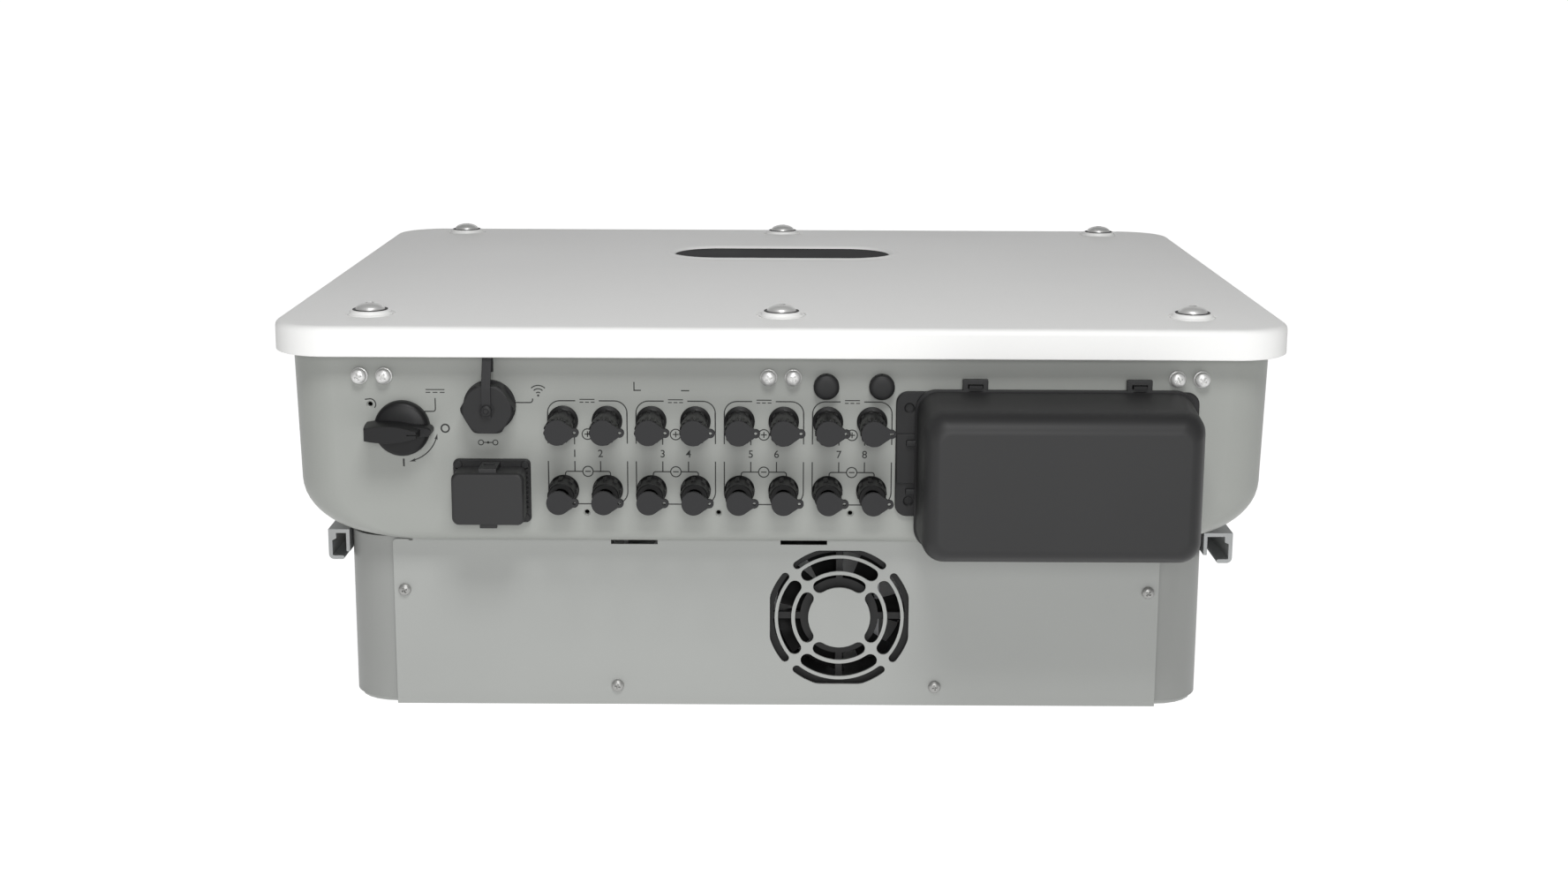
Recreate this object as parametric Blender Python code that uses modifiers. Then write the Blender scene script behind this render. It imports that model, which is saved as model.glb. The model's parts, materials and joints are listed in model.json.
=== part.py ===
"""String inverter for a solar array, lying on its back with the front cover up.

+Z comes out of the front cover, -Y is the connector side and X is the width. The origin is on the
rear resting face. Sizes are in millimetres here and become metres when a mesh is made.
"""

import math

import bmesh
import bpy
from mathutils import Matrix, Vector

MM = 0.001
GAP = 0.3

# Front cover.
COVER_HALF_X = 323.5
COVER_HALF_Y = 265.0
COVER_CORNER = 38.0
COVER_LOW = 237.5
COVER_EDGE = 257.0
COVER_CROWN = 262.5
COVER_WALL = 2.5
COVER_SCREW_X = 264.0
COVER_SCREW_Y = 222.0
BADGE_HALF_X = 82.0
BADGE_HALF_Y = 34.0
BADGE_Y = 62.0
BADGE_FLOOR = 260.6

# Die-cast housing.
HOUSING_HALF_X = 313.5
HOUSING_HALF_Y = 251.0
HOUSING_CORNER = 28.0
HOUSING_LOW = 114.5
HOUSING_TOP = 251.5
HOUSING_WALL = 4.0
SEAL_TOP = HOUSING_TOP + 2.9
HOUSING_DRAFT = 0.027
SIDE_ROUND_X = 50.0
SIDE_ROUND_Z = 38.0
END_ROUND = 10.0
SEAL_LAND = 14.0

# Cooling duct behind the housing, whose centre line is a little to the left.
DUCT_X = -2.5
DUCT_HALF_X = 280.9
DUCT_HALF_Y = 231.2
DUCT_CORNER = 28.0
DUCT_TOP = 113.7
SHEET = 1.5
SHROUD_LOW = 3.5
PLATE_HALF_X = 250.0
FAN_X = 38.7
FAN_Z = 60.0
FAN_SIZE = 92.0
FAN_DEPTH = 38.0
FAN_Y = -227.4
ROTOR_RADIUS = 42.5
BORE_RADIUS = 44.0
STATOR_RADIUS = 25.6
STATOR_THICK = 3.4
TRAY_FLANGE = 17.5
PLATE_SCREWS = ((-243.0, 78.0), (243.0, 78.0), (-104.5, 13.0), (104.5, 13.0))
FIN_PITCH = 34.0
FIN_THICK = 3.2
FIN_PAIRS = 7
FIN_TIP = 16.0
FIN_ROOT = 99.0
PLATE_SCREW_X = 243.0
PLATE_SCREW_Z = 78.0

# Connector panel, the near wall of the housing. Places are (x, z) on its outer face.
PANEL_Y = -HOUSING_HALF_Y
SOCKET_FIRST_X = -138.5
SOCKET_PITCH = 28.06
SOCKETS_IN_ROW = 8
POSITIVE_Z = 195.0
NEGATIVE_Z = 150.0
SWITCH = (-240.5, 190.0)
LOCK_HOLE = (-260.8, 204.8)
DONGLE = (-184.7, 204.6)
COM = (-184.1, 149.4)
VENTS = ((28.7, 218.0), (63.8, 218.0))
CASE_SCREW_Z = 223.4
CASE_SCREW_CENTRES = {"left": -259.1, "middle": -0.1, "right": 258.5}
CASE_SCREW_SPACING = 15.5
SMALL_HOLES = ((-124.0, 135.0), (-39.7, 135.0), (44.6, 135.0))
AC_FLANGE = (73.0, 265.0, 134.0, 215.0)
AC_BODY = (93.0, 253.0, 128.0, 208.0)
AC_LOOPS_X = (122.5, 226.0)


# ---------------------------------------------------------------- materials and collections

def collection(name):
    made = bpy.data.collections.new(name)
    bpy.context.scene.collection.children.link(made)
    return made


def material(name, colour, roughness, metallic=0.0):
    made = bpy.data.materials.new(name)
    made.use_nodes = True
    shader = made.node_tree.nodes["Principled BSDF"]
    shader.inputs["Base Color"].default_value = (*colour, 1.0)
    shader.inputs["Roughness"].default_value = roughness
    shader.inputs["Metallic"].default_value = metallic
    made.diffuse_color = (*colour, 1.0)
    return made


def own_material(obj, look):
    """Each sub-part has a material of its own, made from a shared look."""
    obj.data.materials.clear()
    obj.data.materials.append(material(obj.name, *LOOKS[look]))


LOOKS = {
    "white_paint": ((0.82, 0.82, 0.81), 0.35),
    "grey_paint": ((0.36, 0.38, 0.36), 0.45),
    "sheet_paint": ((0.40, 0.42, 0.40), 0.45),
    "rail_metal": ((0.55, 0.56, 0.56), 0.35, 0.6),
    "bare_metal": ((0.62, 0.62, 0.62), 0.3, 1.0),
    "black_plastic": ((0.045, 0.046, 0.047), 0.45),
    "badge_plastic": ((0.03, 0.035, 0.04), 0.2),
    "rubber": ((0.03, 0.03, 0.03), 0.7),
    "circuit_board": ((0.02, 0.16, 0.07), 0.5),
    "dark_metal": ((0.16, 0.17, 0.18), 0.4, 0.8),
}


# ---------------------------------------------------------------- outlines, in millimetres

def arc(centre, radius, start, end, steps):
    """Points along an arc, with its angles in degrees."""
    angles = [math.radians(start + (end - start) * i / steps) for i in range(steps + 1)]
    return [(centre[0] + radius * math.cos(a), centre[1] + radius * math.sin(a)) for a in angles]


def circle(x, y, radius, steps=16):
    return arc((x, y), radius, 0, 360, steps)[:-1]


def rectangle(x0, x1, y0, y1, radius=0.0, steps=3):
    """A rectangle with round corners, counter-clockwise."""
    if not radius:
        return [(x0, y0), (x1, y0), (x1, y1), (x0, y1)]
    centres = ((x1 - radius, y1 - radius), (x0 + radius, y1 - radius),
               (x0 + radius, y0 + radius), (x1 - radius, y0 + radius))
    points = []
    for quarter, centre in enumerate(centres):
        points += arc(centre, radius, 90 * quarter, 90 * quarter + 90, steps)
    return points


def thick_path(points, thickness):
    """The outline of a strip of even thickness along a path."""
    sides = ([], [])
    for i, point in enumerate(points):
        before = Vector(points[max(i - 1, 0)])
        after = Vector(points[min(i + 1, len(points) - 1)])
        along = (after - before).normalized()
        across = Vector((-along.y, along.x)) * thickness / 2
        sides[0].append(tuple(Vector(point) + across))
        sides[1].append(tuple(Vector(point) - across))
    return sides[0] + sides[1][::-1]


# ---------------------------------------------------------------- frames

def placed(x=0.0, y=0.0, z=0.0):
    """An outline in X and Y, raised along +Z."""
    return Matrix.Translation(Vector((x, y, z)) * MM)


def on_wall(x=0.0, z=0.0, y=PANEL_Y):
    """An outline in X and Z, raised towards -Y from a wall at y."""
    return placed(x, y, z) @ Matrix.Rotation(math.pi / 2, 4, "X")


def across(x=0.0, y=0.0, z=0.0):
    """An outline in Y and Z, raised along +X."""
    turn = Matrix(((0, 0, 1, 0), (1, 0, 0, 0), (0, 1, 0, 0), (0, 0, 0, 1)))
    return placed(x, y, z) @ turn


# ---------------------------------------------------------------- shapes

def link(obj, look):
    PARTS.objects.link(obj)
    own_material(obj, look)
    return obj


def from_bmesh(name, shape, frame, look):
    mesh = bpy.data.meshes.new(name)
    shape.to_mesh(mesh)
    shape.free()
    obj = bpy.data.objects.new(name, mesh)
    obj.matrix_world = frame
    return link(obj, look)


def prism(name, outlines, low, high, frame, look="black_plastic"):
    """A flat outline, with any holes as further outlines, raised from low to high."""
    curve = bpy.data.curves.new(name, "CURVE")
    curve.dimensions = "2D"
    curve.fill_mode = "BOTH"
    curve.extrude = (high - low) / 2 * MM
    for outline in outlines:
        spline = curve.splines.new("POLY")
        spline.points.add(len(outline) - 1)
        for point, (x, y) in zip(spline.points, outline):
            point.co = (x * MM, y * MM, 0.0, 1.0)
        spline.use_cyclic_u = True
    guide = bpy.data.objects.new(name, curve)
    bpy.context.scene.collection.objects.link(guide)
    graph = bpy.context.evaluated_depsgraph_get()
    flat = bpy.data.meshes.new_from_object(guide.evaluated_get(graph))
    bpy.data.objects.remove(guide)
    shape = bmesh.new()
    shape.from_mesh(flat)
    bmesh.ops.remove_doubles(shape, verts=shape.verts, dist=1e-6)
    bmesh.ops.translate(shape, verts=shape.verts, vec=(0.0, 0.0, (high + low) / 2 * MM))
    bmesh.ops.recalc_face_normals(shape, faces=shape.faces)
    return from_bmesh(name, shape, frame, look)


def box(name, x, y, z, frame, look="black_plastic", round_edges=0.0):
    """A block from the low and high of each axis."""
    shape = bmesh.new()
    bmesh.ops.create_cube(shape, size=1.0)
    middle = Vector([(low + high) / 2 * MM for low, high in (x, y, z)])
    size = Vector([(high - low) * MM for low, high in (x, y, z)])
    bmesh.ops.scale(shape, verts=shape.verts, vec=size)
    bmesh.ops.translate(shape, verts=shape.verts, vec=middle)
    obj = from_bmesh(name, shape, frame, look)
    if round_edges:
        bevel = obj.modifiers.new("round_edges", "BEVEL")
        bevel.width = round_edges * MM
        bevel.segments = 2
    return obj


def turned(name, profile, frame, look="black_plastic", steps=16):
    """A turned solid. The profile of (radius, height) runs from the top down its outer side."""
    mesh = bpy.data.meshes.new(name)
    points = [(radius * MM, 0.0, height * MM) for radius, height in profile]
    ends = [(i, i + 1) for i in range(len(points) - 1)]
    if profile[0][0] > 0:
        ends.append((len(points) - 1, 0))
    mesh.from_pydata(points, ends, [])
    obj = bpy.data.objects.new(name, mesh)
    obj.matrix_world = frame
    screw = obj.modifiers.new("turn", "SCREW")
    screw.steps = steps
    screw.render_steps = steps
    screw.use_merge_vertices = True
    screw.merge_threshold = 1e-6
    return bake(link(obj, look))


def loft(name, rings, frame, look):
    """A solid through rings of equal point counts, closed at the first and the last."""
    shape = bmesh.new()
    loops = [[shape.verts.new(Vector(point) * MM) for point in ring] for ring in rings]
    for below, above in zip(loops, loops[1:]):
        for i in range(len(below)):
            j = (i + 1) % len(below)
            shape.faces.new((below[i], below[j], above[j], above[i]))
    shape.faces.new(loops[0][::-1])
    shape.faces.new(loops[-1])
    bmesh.ops.triangulate(shape, faces=shape.faces)
    bmesh.ops.recalc_face_normals(shape, faces=shape.faces)
    return from_bmesh(name, shape, frame, look)


def level(x0, x1, y0, y1, radius, height, steps=4):
    """One ring of a loft: a rounded rectangle at a height."""
    return [(x, y, height) for x, y in rectangle(x0, x1, y0, y1, radius, steps)]


def bake(obj):
    """Replaces the mesh by its evaluated shape, so that copies and Booleans can use it."""
    graph = bpy.context.evaluated_depsgraph_get()
    mesh = bpy.data.meshes.new_from_object(obj.evaluated_get(graph))
    obj.modifiers.clear()
    obj.data = mesh
    return obj


def combine(target, operation, tools):
    """Joins the tools to the target or cuts them from it, and keeps them as hidden wires."""
    for tool in tools:
        modifier = target.modifiers.new(operation.lower(), "BOOLEAN")
        modifier.operation = operation
        modifier.object = tool
        PARTS.objects.unlink(tool)
        CUTTERS.objects.link(tool)
        tool.hide_render = True
        tool.display_type = "WIRE"
    return target


def join(target, *tools):
    return combine(target, "UNION", tools)


def cut(target, *tools):
    return combine(target, "DIFFERENCE", tools)


def bundle(name, *objects):
    """One hidden tool that holds several separate shapes."""
    shape = bmesh.new()
    graph = bpy.context.evaluated_depsgraph_get()
    for obj in objects:
        mesh = bpy.data.meshes.new_from_object(obj.evaluated_get(graph))
        mesh.transform(obj.matrix_world)
        shape.from_mesh(mesh)
        bpy.data.objects.remove(obj)
    return from_bmesh(name, shape, Matrix(), "black_plastic")


def smooth(obj):
    obj.data.shade_smooth()
    obj.data.set_sharp_from_angle(angle=math.radians(35))


# ---------------------------------------------------------------- front cover

def cover_level(inset, height):
    radius = max(COVER_CORNER - inset, 4.0)
    return level(inset - COVER_HALF_X, COVER_HALF_X - inset,
                 inset - COVER_HALF_Y, COVER_HALF_Y - inset, radius, height)


def cover_screw_places():
    for row, y in (("near", -COVER_SCREW_Y), ("far", COVER_SCREW_Y)):
        for side, x in (("left", -COVER_SCREW_X), ("middle", 0.0), ("right", COVER_SCREW_X)):
            yield f"{row}_{side}", x, y


def stadium(half_x, half_y):
    straight = half_x - half_y
    right = arc((straight, 0), half_y, -90, 90, 8)
    left = arc((-straight, 0), half_y, 90, 270, 8)
    return right + left


def make_front_cover():
    edge = 4.0
    reach = COVER_HALF_Y - 20.0
    rings = [cover_level(reach, COVER_CROWN - COVER_WALL - 0.5), cover_level(60.0, COVER_EDGE - 1.0),
             cover_level(30.0, SEAL_TOP), cover_level(COVER_WALL, SEAL_TOP),
             cover_level(COVER_WALL, COVER_LOW), cover_level(0.0, COVER_LOW)]
    for angle in (0, 30, 60, 90):
        turn = math.radians(angle)
        rings.append(cover_level(edge * (1 - math.cos(turn)), COVER_EDGE - edge * (1 - math.sin(turn))))
    crown = COVER_CROWN - COVER_EDGE
    for share in (0.12, 0.3, 0.55, 0.8, 1.0):
        rise = crown * math.sin(share * math.pi / 2)
        rings.append(cover_level(edge + share * (reach - edge), COVER_EDGE + rise))
    cover = loft("front_cover", rings, placed(), "white_paint")
    bosses = []
    holes = []
    ring = [(0, 260.8), (12.4, 260.8), (13.0, 259.8), (13.0, 256.6), (0, 256.6)]
    for name, x, y in cover_screw_places():
        bosses.append(turned(f"boss_{name}", ring, placed(x, y), steps=16))
        holes.append(prism(f"hole_{name}", [arc((0, 0), 3.4, 15, 375, 10)[:-1]], 250.0, 264.0, placed(x, y)))
    join(cover, bundle("cover_bosses", *bosses))
    pocket = prism("badge_pocket", [stadium(BADGE_HALF_X, BADGE_HALF_Y)], BADGE_FLOOR, 266.0,
                   placed(0, BADGE_Y))
    cut(cover, bundle("cover_holes", *holes), pocket)
    smooth(cover)
    badge = prism("cover_badge", [stadium(BADGE_HALF_X - GAP, BADGE_HALF_Y - GAP)],
                  BADGE_FLOOR + GAP, BADGE_FLOOR + 1.2, placed(0, BADGE_Y), "badge_plastic")
    smooth(badge)


def make_cover_screws():
    dome = [(0, 265.9), (5.0, 265.1), (8.2, 263.1), (9.4, 261.1), (2.9, 261.1), (2.9, 236.0), (0, 236.0)]
    for name, x, y in cover_screw_places():
        smooth(turned(f"cover_screw_{name}", dome, placed(x, y), "bare_metal", steps=12))


def make_gasket():
    half_x = HOUSING_HALF_X - 4.0
    half_y = HOUSING_HALF_Y - 4.0
    outer = rectangle(-half_x, half_x, -half_y, half_y, 24.0, 4)
    inner = rectangle(7.0 - half_x, half_x - 7.0, 7.0 - half_y, half_y - 7.0, 17.0, 4)
    prism("cover_gasket", [outer, inner], HOUSING_TOP + GAP, HOUSING_TOP + 2.6, placed(), "rubber")


# ---------------------------------------------------------------- housing

def housing_level(height, inset=0.0):
    """A level of the cast wall, with the side's deep round and the ends' small one."""
    rise = height - HOUSING_LOW
    half_x = HOUSING_HALF_X - HOUSING_DRAFT * (HOUSING_TOP - height)
    side = max(1 - rise / SIDE_ROUND_Z, 0.0)
    end = max(1 - rise / END_ROUND, 0.0)
    in_x = SIDE_ROUND_X * (1 - math.sqrt(1 - side ** 2)) + inset
    in_y = END_ROUND * (1 - math.sqrt(1 - end ** 2)) + inset
    radius = max(HOUSING_CORNER + 0.4 * in_x - inset, 6.0)
    return level(in_x - half_x, half_x - in_x, in_y - HOUSING_HALF_Y, HOUSING_HALF_Y - in_y, radius, height)


def panel_holes():
    """Cutters for all that passes through the connector panel."""
    through = (-HOUSING_WALL - 1.0, 1.0)
    rounds = [(x, z, 7.6) for x in socket_places() for z in (POSITIVE_Z, NEGATIVE_Z)]
    rounds += [(*SWITCH, 9.3), (*LOCK_HOLE, 1.9), (*DONGLE, 11.2)]
    rounds += [(x, z, 5.6) for x, z in VENTS]
    rounds += [(x, z, 1.9) for x, z in SMALL_HOLES]
    rounds += [(x, CASE_SCREW_Z, 3.1) for centre in CASE_SCREW_CENTRES.values() for x in pair(centre)]
    holes = [prism("hole", [circle(0, 0, radius, 8)], *through, on_wall(x, z)) for x, z, radius in rounds]
    holes.append(box("hole", (-15.3, 15.3), (-10.3, 10.3), through, on_wall(*COM)))
    holes.append(box("hole", (AC_BODY[0] + 20, AC_BODY[1] - 20), (150, 186), through, on_wall()))
    return bundle("panel_holes", *holes)


def make_housing():
    rises = (0.0, 1.0, 3.0, 6.0, 10.0, 17.0, 26.0, SIDE_ROUND_Z)
    heights = [HOUSING_LOW + rise for rise in rises] + [HOUSING_TOP]
    outer = [housing_level(height) for height in heights]
    inner = [housing_level(HOUSING_TOP, SEAL_LAND), housing_level(HOUSING_TOP - 7.0, SEAL_LAND),
             housing_level(HOUSING_TOP - 12.0, HOUSING_WALL)]
    inner += [housing_level(height, HOUSING_WALL) for height in reversed(heights[4:-1])]
    housing = loft("housing", outer + inner, placed(), "grey_paint")
    floor = heights[4] - 1.0
    columns = []
    bores = []
    for name, x, y in cover_screw_places():
        columns.append(turned(f"column_{name}", [(0, HOUSING_TOP - 1.0), (8.0, HOUSING_TOP - 1.0),
                                                 (9.0, floor), (0, floor)], placed(x, y), steps=8))
        bore = [(0, 256.0), (3.6, 256.0), (3.6, 234.0), (0, 234.0)]
        bores.append(turned(f"bore_{name}", bore, placed(x, y), steps=8))
    join(housing, bundle("housing_columns", *columns))
    cut(housing, panel_holes(), bundle("housing_bores", *bores))
    smooth(housing)


# ---------------------------------------------------------------- cooling duct

def make_shrouds():
    for side, sign in (("left", -1), ("right", 1)):
        corner = DUCT_HALF_X - DUCT_CORNER
        near = arc((corner, DUCT_CORNER - DUCT_HALF_Y), DUCT_CORNER, -90, 0, 6)
        far = arc((corner, DUCT_HALF_Y - DUCT_CORNER), DUCT_CORNER, 0, 90, 6)
        start = (corner - 16.0, -DUCT_HALF_Y)
        path = [start, *near, *far, (start[0], DUCT_HALF_Y)]
        middle = thick_path(path, SHEET)
        outline = [(sign * (x - SHEET / 2), y * (1 - SHEET / 2 / DUCT_HALF_Y)) for x, y in middle]
        shroud = prism(f"duct_shroud_{side}", [outline], SHROUD_LOW, DUCT_TOP, placed(DUCT_X), "sheet_paint")
        screw_at = on_wall(DUCT_X + sign * PLATE_SCREW_X, PLATE_SCREW_Z, -DUCT_HALF_Y)
        cut(shroud, prism("hole", [circle(0, 0, 2.0, 8)], -4.0, 4.0, screw_at))
        smooth(shroud)


def duct_level(inset, height):
    half_x = DUCT_HALF_X - SHEET - GAP - inset
    half_y = DUCT_HALF_Y - SHEET - GAP - inset
    return level(-half_x, half_x, -half_y, half_y, max(DUCT_CORNER - inset, 6.0), height, 6)


def make_rear_plate():
    """A shallow tray. Its near flange is notched for the fan and drilled for the fan plate's lower screws."""
    rings = [duct_level(2.0, 0.0), duct_level(0.5, 0.6), duct_level(0.0, 2.0), duct_level(0.0, TRAY_FLANGE),
             duct_level(SHEET, TRAY_FLANGE), duct_level(SHEET, SHEET)]
    plate = loft("rear_plate", rings, placed(DUCT_X), "sheet_paint")
    wall = on_wall(0.0, 0.0, -DUCT_HALF_Y)
    notch = box("fan_notch", (FAN_X - 48.0, FAN_X + 48.0), (12.0, 30.0), (-6.0, 1.0), wall)
    holes = [prism("hole", [circle(DUCT_X + x, z, 1.9, 8)], -6.0, 1.0, wall) for x, z in PLATE_SCREWS[2:]]
    cut(plate, bundle("flange_holes", notch, *holes))
    smooth(plate)


def ring_slot(inner, outer, middle_angle, half_angle):
    """A slot along an arc, with round ends."""
    mean = (inner + outer) / 2
    cap = (outer - inner) / 2
    first = middle_angle - half_angle
    last = middle_angle + half_angle
    start = (mean * math.cos(math.radians(first)), mean * math.sin(math.radians(first)))
    end = (mean * math.cos(math.radians(last)), mean * math.sin(math.radians(last)))
    points = arc((0, 0), outer, first, last, 5)
    points += arc(end, cap, last, last + 180, 2)[1:-1]
    points += arc((0, 0), inner, last, first, 5)
    points += arc(start, cap, first + 180, first + 360, 2)[1:-1]
    return points


def guard_slots():
    """Three rings of slots in four sectors. The outer ring is cut off square by the fan's frame."""
    slots = []
    for middle_angle in (0, 90, 180, 270):
        slots.append(ring_slot(20.3, 29.0, middle_angle, 31.5))
        slots.append(ring_slot(31.4, 40.2, middle_angle, 35.5))
        outer = ring_slot(42.3, 47.7, middle_angle, 38.0)
        limit = 45.5
        slots.append([(max(-limit, min(limit, x)), max(-limit, min(limit, z))) for x, z in outer])
    return slots


def plate_outline():
    """The fan plate, with two slots, a nick and a low left shoulder in its top edge."""
    top = DUCT_TOP + 0.1
    shoulder = 112.0
    points = [(-PLATE_HALF_X, 0.0), (PLATE_HALF_X, 0.0), (PLATE_HALF_X, shoulder - 2.5)]
    points += arc((PLATE_HALF_X - 2.5, shoulder - 2.5), 2.5, 0, 90, 3)[1:]
    points += [(PLATE_HALF_X - 13.0, shoulder), (PLATE_HALF_X - 13.0, top)]
    for middle in (15.2 - DUCT_X, -95.2 - DUCT_X):
        points += [(middle + 15.2, top), (middle + 15.2, 110.4), (middle - 15.2, 110.4), (middle - 15.2, top)]
    points += [(13.0 - PLATE_HALF_X, top), (13.0 - PLATE_HALF_X, 111.2), (10.3 - PLATE_HALF_X, 111.2)]
    points += [(10.3 - PLATE_HALF_X, shoulder)]
    points += arc((2.5 - PLATE_HALF_X, shoulder - 2.5), 2.5, 90, 180, 3)
    return points


def make_fan_plate():
    frame = on_wall(DUCT_X, 0.0, -DUCT_HALF_Y - GAP)
    slots = [[(x + FAN_X - DUCT_X, z + FAN_Z) for x, z in slot] for slot in guard_slots()]
    holes = [circle(x, z, 2.0, 8) for x, z in PLATE_SCREWS]
    plate = prism("fan_plate", [plate_outline(), *slots, *holes], 0.0, SHEET, frame, "sheet_paint")
    smooth(plate)
    head = [(0, 4.4), (3.0, 3.7), (4.1, 1.8), (1.5, 1.8), (1.5, -5.0), (0, -5.0)]
    for number, (x, z) in enumerate(PLATE_SCREWS, 1):
        place = on_wall(DUCT_X + x, z, -DUCT_HALF_Y - GAP)
        smooth(turned(f"fan_plate_screw_{number}", head, place, "bare_metal", 10))


def make_outlet_grille():
    frame = on_wall(DUCT_X, 0.0, DUCT_HALF_Y + GAP + SHEET)
    slots = []
    for column in range(-6, 7):
        for low, high in ((22.0, 52.0), (60.0, 90.0)):
            slots.append(rectangle(column * 36.0 - 13.0, column * 36.0 + 13.0, low, high))
    outline = rectangle(-PLATE_HALF_X, PLATE_HALF_X, 0.0, DUCT_TOP + 0.1)
    prism("outlet_grille", [outline, *slots], 0.0, SHEET, frame, "sheet_paint")


def sector(inner, outer, middle_angle, half_width):
    """A quarter of the open ring between two struts."""
    trims = [math.degrees(math.asin(half_width / radius)) for radius in (outer, inner)]
    points = arc((0, 0), outer, middle_angle - 45 + trims[0], middle_angle + 45 - trims[0], 6)
    return points + arc((0, 0), inner, middle_angle + 45 - trims[1], middle_angle - 45 + trims[1], 6)


def make_fan():
    place = on_wall(FAN_X, FAN_Z, FAN_Y)
    half = FAN_SIZE / 2
    back = -FAN_DEPTH - 1.0
    corners = [(x, z) for x in (-41.3, 41.3) for z in (-41.3, 41.3)]
    frame = prism("fan_frame", [rectangle(-half, half, -half, half, 4.0)], -FAN_DEPTH, 0.0, place)
    bore = prism("fan_bore", [circle(0, 0, BORE_RADIUS, 24)], back, -STATOR_THICK, place)
    windows = [prism("window", [sector(STATOR_RADIUS, BORE_RADIUS - 1.0, 45 + 90 * i, 2.2)], back, 1.0, place)
               for i in range(4)]
    corner_holes = [prism("hole", [circle(x, z, 2.2, 8)], back, 1.0, place) for x, z in corners]
    cut(frame, bore, bundle("fan_windows", *windows, *corner_holes))
    hub = [(0, -4.0), (20.5, -4.0), (21.5, -5.0), (21.5, -34.0), (0, -34.0)]
    rotor = turned("fan_rotor", hub, place, steps=14)
    join(rotor, bundle("fan_blades", *[make_blade(i * 360 / 7, FAN_Y) for i in range(7)]))
    smooth(rotor)


def make_blade(angle, wall):
    """A twisted blade, from inside the hub to the tip."""
    rings = []
    for radius, chord, pitch in ((20.0, 26.0, 56.0), (31.0, 30.0, 44.0), (ROTOR_RADIUS - 0.7, 32.0, 35.0)):
        turn = math.radians(pitch)
        ring = []
        for along, thick in ((-0.5, -0.7), (0.5, -0.7), (0.5, 0.7), (-0.5, 0.7)):
            step = along * chord
            swing = step * math.cos(turn) - thick * math.sin(turn)
            height = step * math.sin(turn) + thick * math.cos(turn)
            around = math.radians(angle) + swing / radius
            ring.append((radius * math.cos(around), radius * math.sin(around), height - 19.0))
        rings.append(ring)
    return loft("blade", rings, on_wall(FAN_X, FAN_Z, wall), "black_plastic")


def make_heat_sink():
    half = FIN_PITCH * FIN_PAIRS + 15.0
    points = [(-half, DUCT_TOP), (-half, FIN_ROOT)]
    for number in range(-FIN_PAIRS, FIN_PAIRS + 1):
        low = number * FIN_PITCH - FIN_THICK / 2
        high = number * FIN_PITCH + FIN_THICK / 2
        points += [(low, FIN_ROOT), (low, FIN_TIP), (high, FIN_TIP), (high, FIN_ROOT)]
    points += [(half, FIN_ROOT), (half, DUCT_TOP)]
    prism("heat_sink", [points], -224.0, 178.0, on_wall(DUCT_X, 0.3, 0.0), "bare_metal")


def make_rails():
    for side, sign in (("left", -1), ("right", 1)):
        inner = 281.4 + sign * DUCT_X
        outer = 298.0
        section = [(inner, 114.0), (outer, 114.0), (outer, 96.5), (outer - 2.5, 93.6), (outer - 9.5, 93.6),
                   (outer - 9.5, 96.2), (outer - 2.6, 96.2), (outer - 2.6, 106.5), (outer - 5.2, 107.5),
                   (outer - 5.2, 111.4), (inner + 2.4, 111.4), (inner + 2.4, 99.0), (inner, 99.0)]
        points = [(sign * x, z) for x, z in section]
        prism(f"mounting_rail_{side}", [points], -205.0, 216.0, on_wall(0.0, 0.0, 0.0), "rail_metal")


# ---------------------------------------------------------------- connector panel

def socket_places():
    return [SOCKET_FIRST_X + SOCKET_PITCH * i for i in range(SOCKETS_IN_ROW)]


def pair(centre):
    return (centre - CASE_SCREW_SPACING / 2, centre + CASE_SCREW_SPACING / 2)


def make_sockets():
    """Each row is one strip inside the wall with a panel socket for each string."""
    shapes = {"positive": (POSITIVE_Z, 7.3, 19.0), "negative": (NEGATIVE_Z, 8.6, 22.0)}
    for kind, (z, barrel, reach) in shapes.items():
        places = socket_places()
        long = (places[0] - 9, places[-1] + 9)
        strip = box(f"{kind}_sockets", long, (z - 8, z + 8), (-10.0, -6.0), on_wall())
        profile = [(0, 6.0), (5.5, 6.0), (5.5, reach), (barrel, reach), (barrel, 2.3), (9.7, 2.3), (9.7, GAP),
                   (6.6, GAP), (6.6, -8.0), (0, -8.0)]
        join(strip, *[turned("socket", profile, on_wall(x, z), steps=8) for x in places])


def eyelet(reach):
    """The ear of a dust cap, which a tether ties to."""
    ear = arc((reach, 0.0), 2.8, -110, 110, 6)
    return [(3.0, -5.4), *ear, (3.0, 5.4)], circle(reach, 0.0, 0.9, 6)


def make_dust_caps():
    """A stem sits in the socket's bore. The positive caps have a wide collar behind the disc."""
    collared = [(0, 40), (8.0, 40), (8.0, 37), (8.7, 37), (8.7, 21), (4.9, 21), (4.9, 8), (0, 8)]
    slim = [(0, 38.5), (7.5, 38.5), (7.5, 35.5), (3.8, 34.5), (3.8, 8.0), (0, 8.0)]
    shapes = {"positive": (POSITIVE_Z, 10.7, collared), "negative": (NEGATIVE_Z, 9.9, slim)}
    for kind, (z, reach, profile) in shapes.items():
        first = turned(f"dust_cap_{kind}_1", profile, on_wall(socket_places()[0], z), "rubber", 10)
        top = profile[0][1]
        join(first, prism("ear", eyelet(reach), top - 2.6, top - 0.4, on_wall(socket_places()[0], z)))
        bake(first)
        smooth(first)
        own_material(first, "rubber")
        for number, x in list(enumerate(socket_places(), 1))[1:]:
            copy = bpy.data.objects.new(f"dust_cap_{kind}_{number}", first.data.copy())
            copy.matrix_world = on_wall(x, z)
            link(copy, "rubber")


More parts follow.
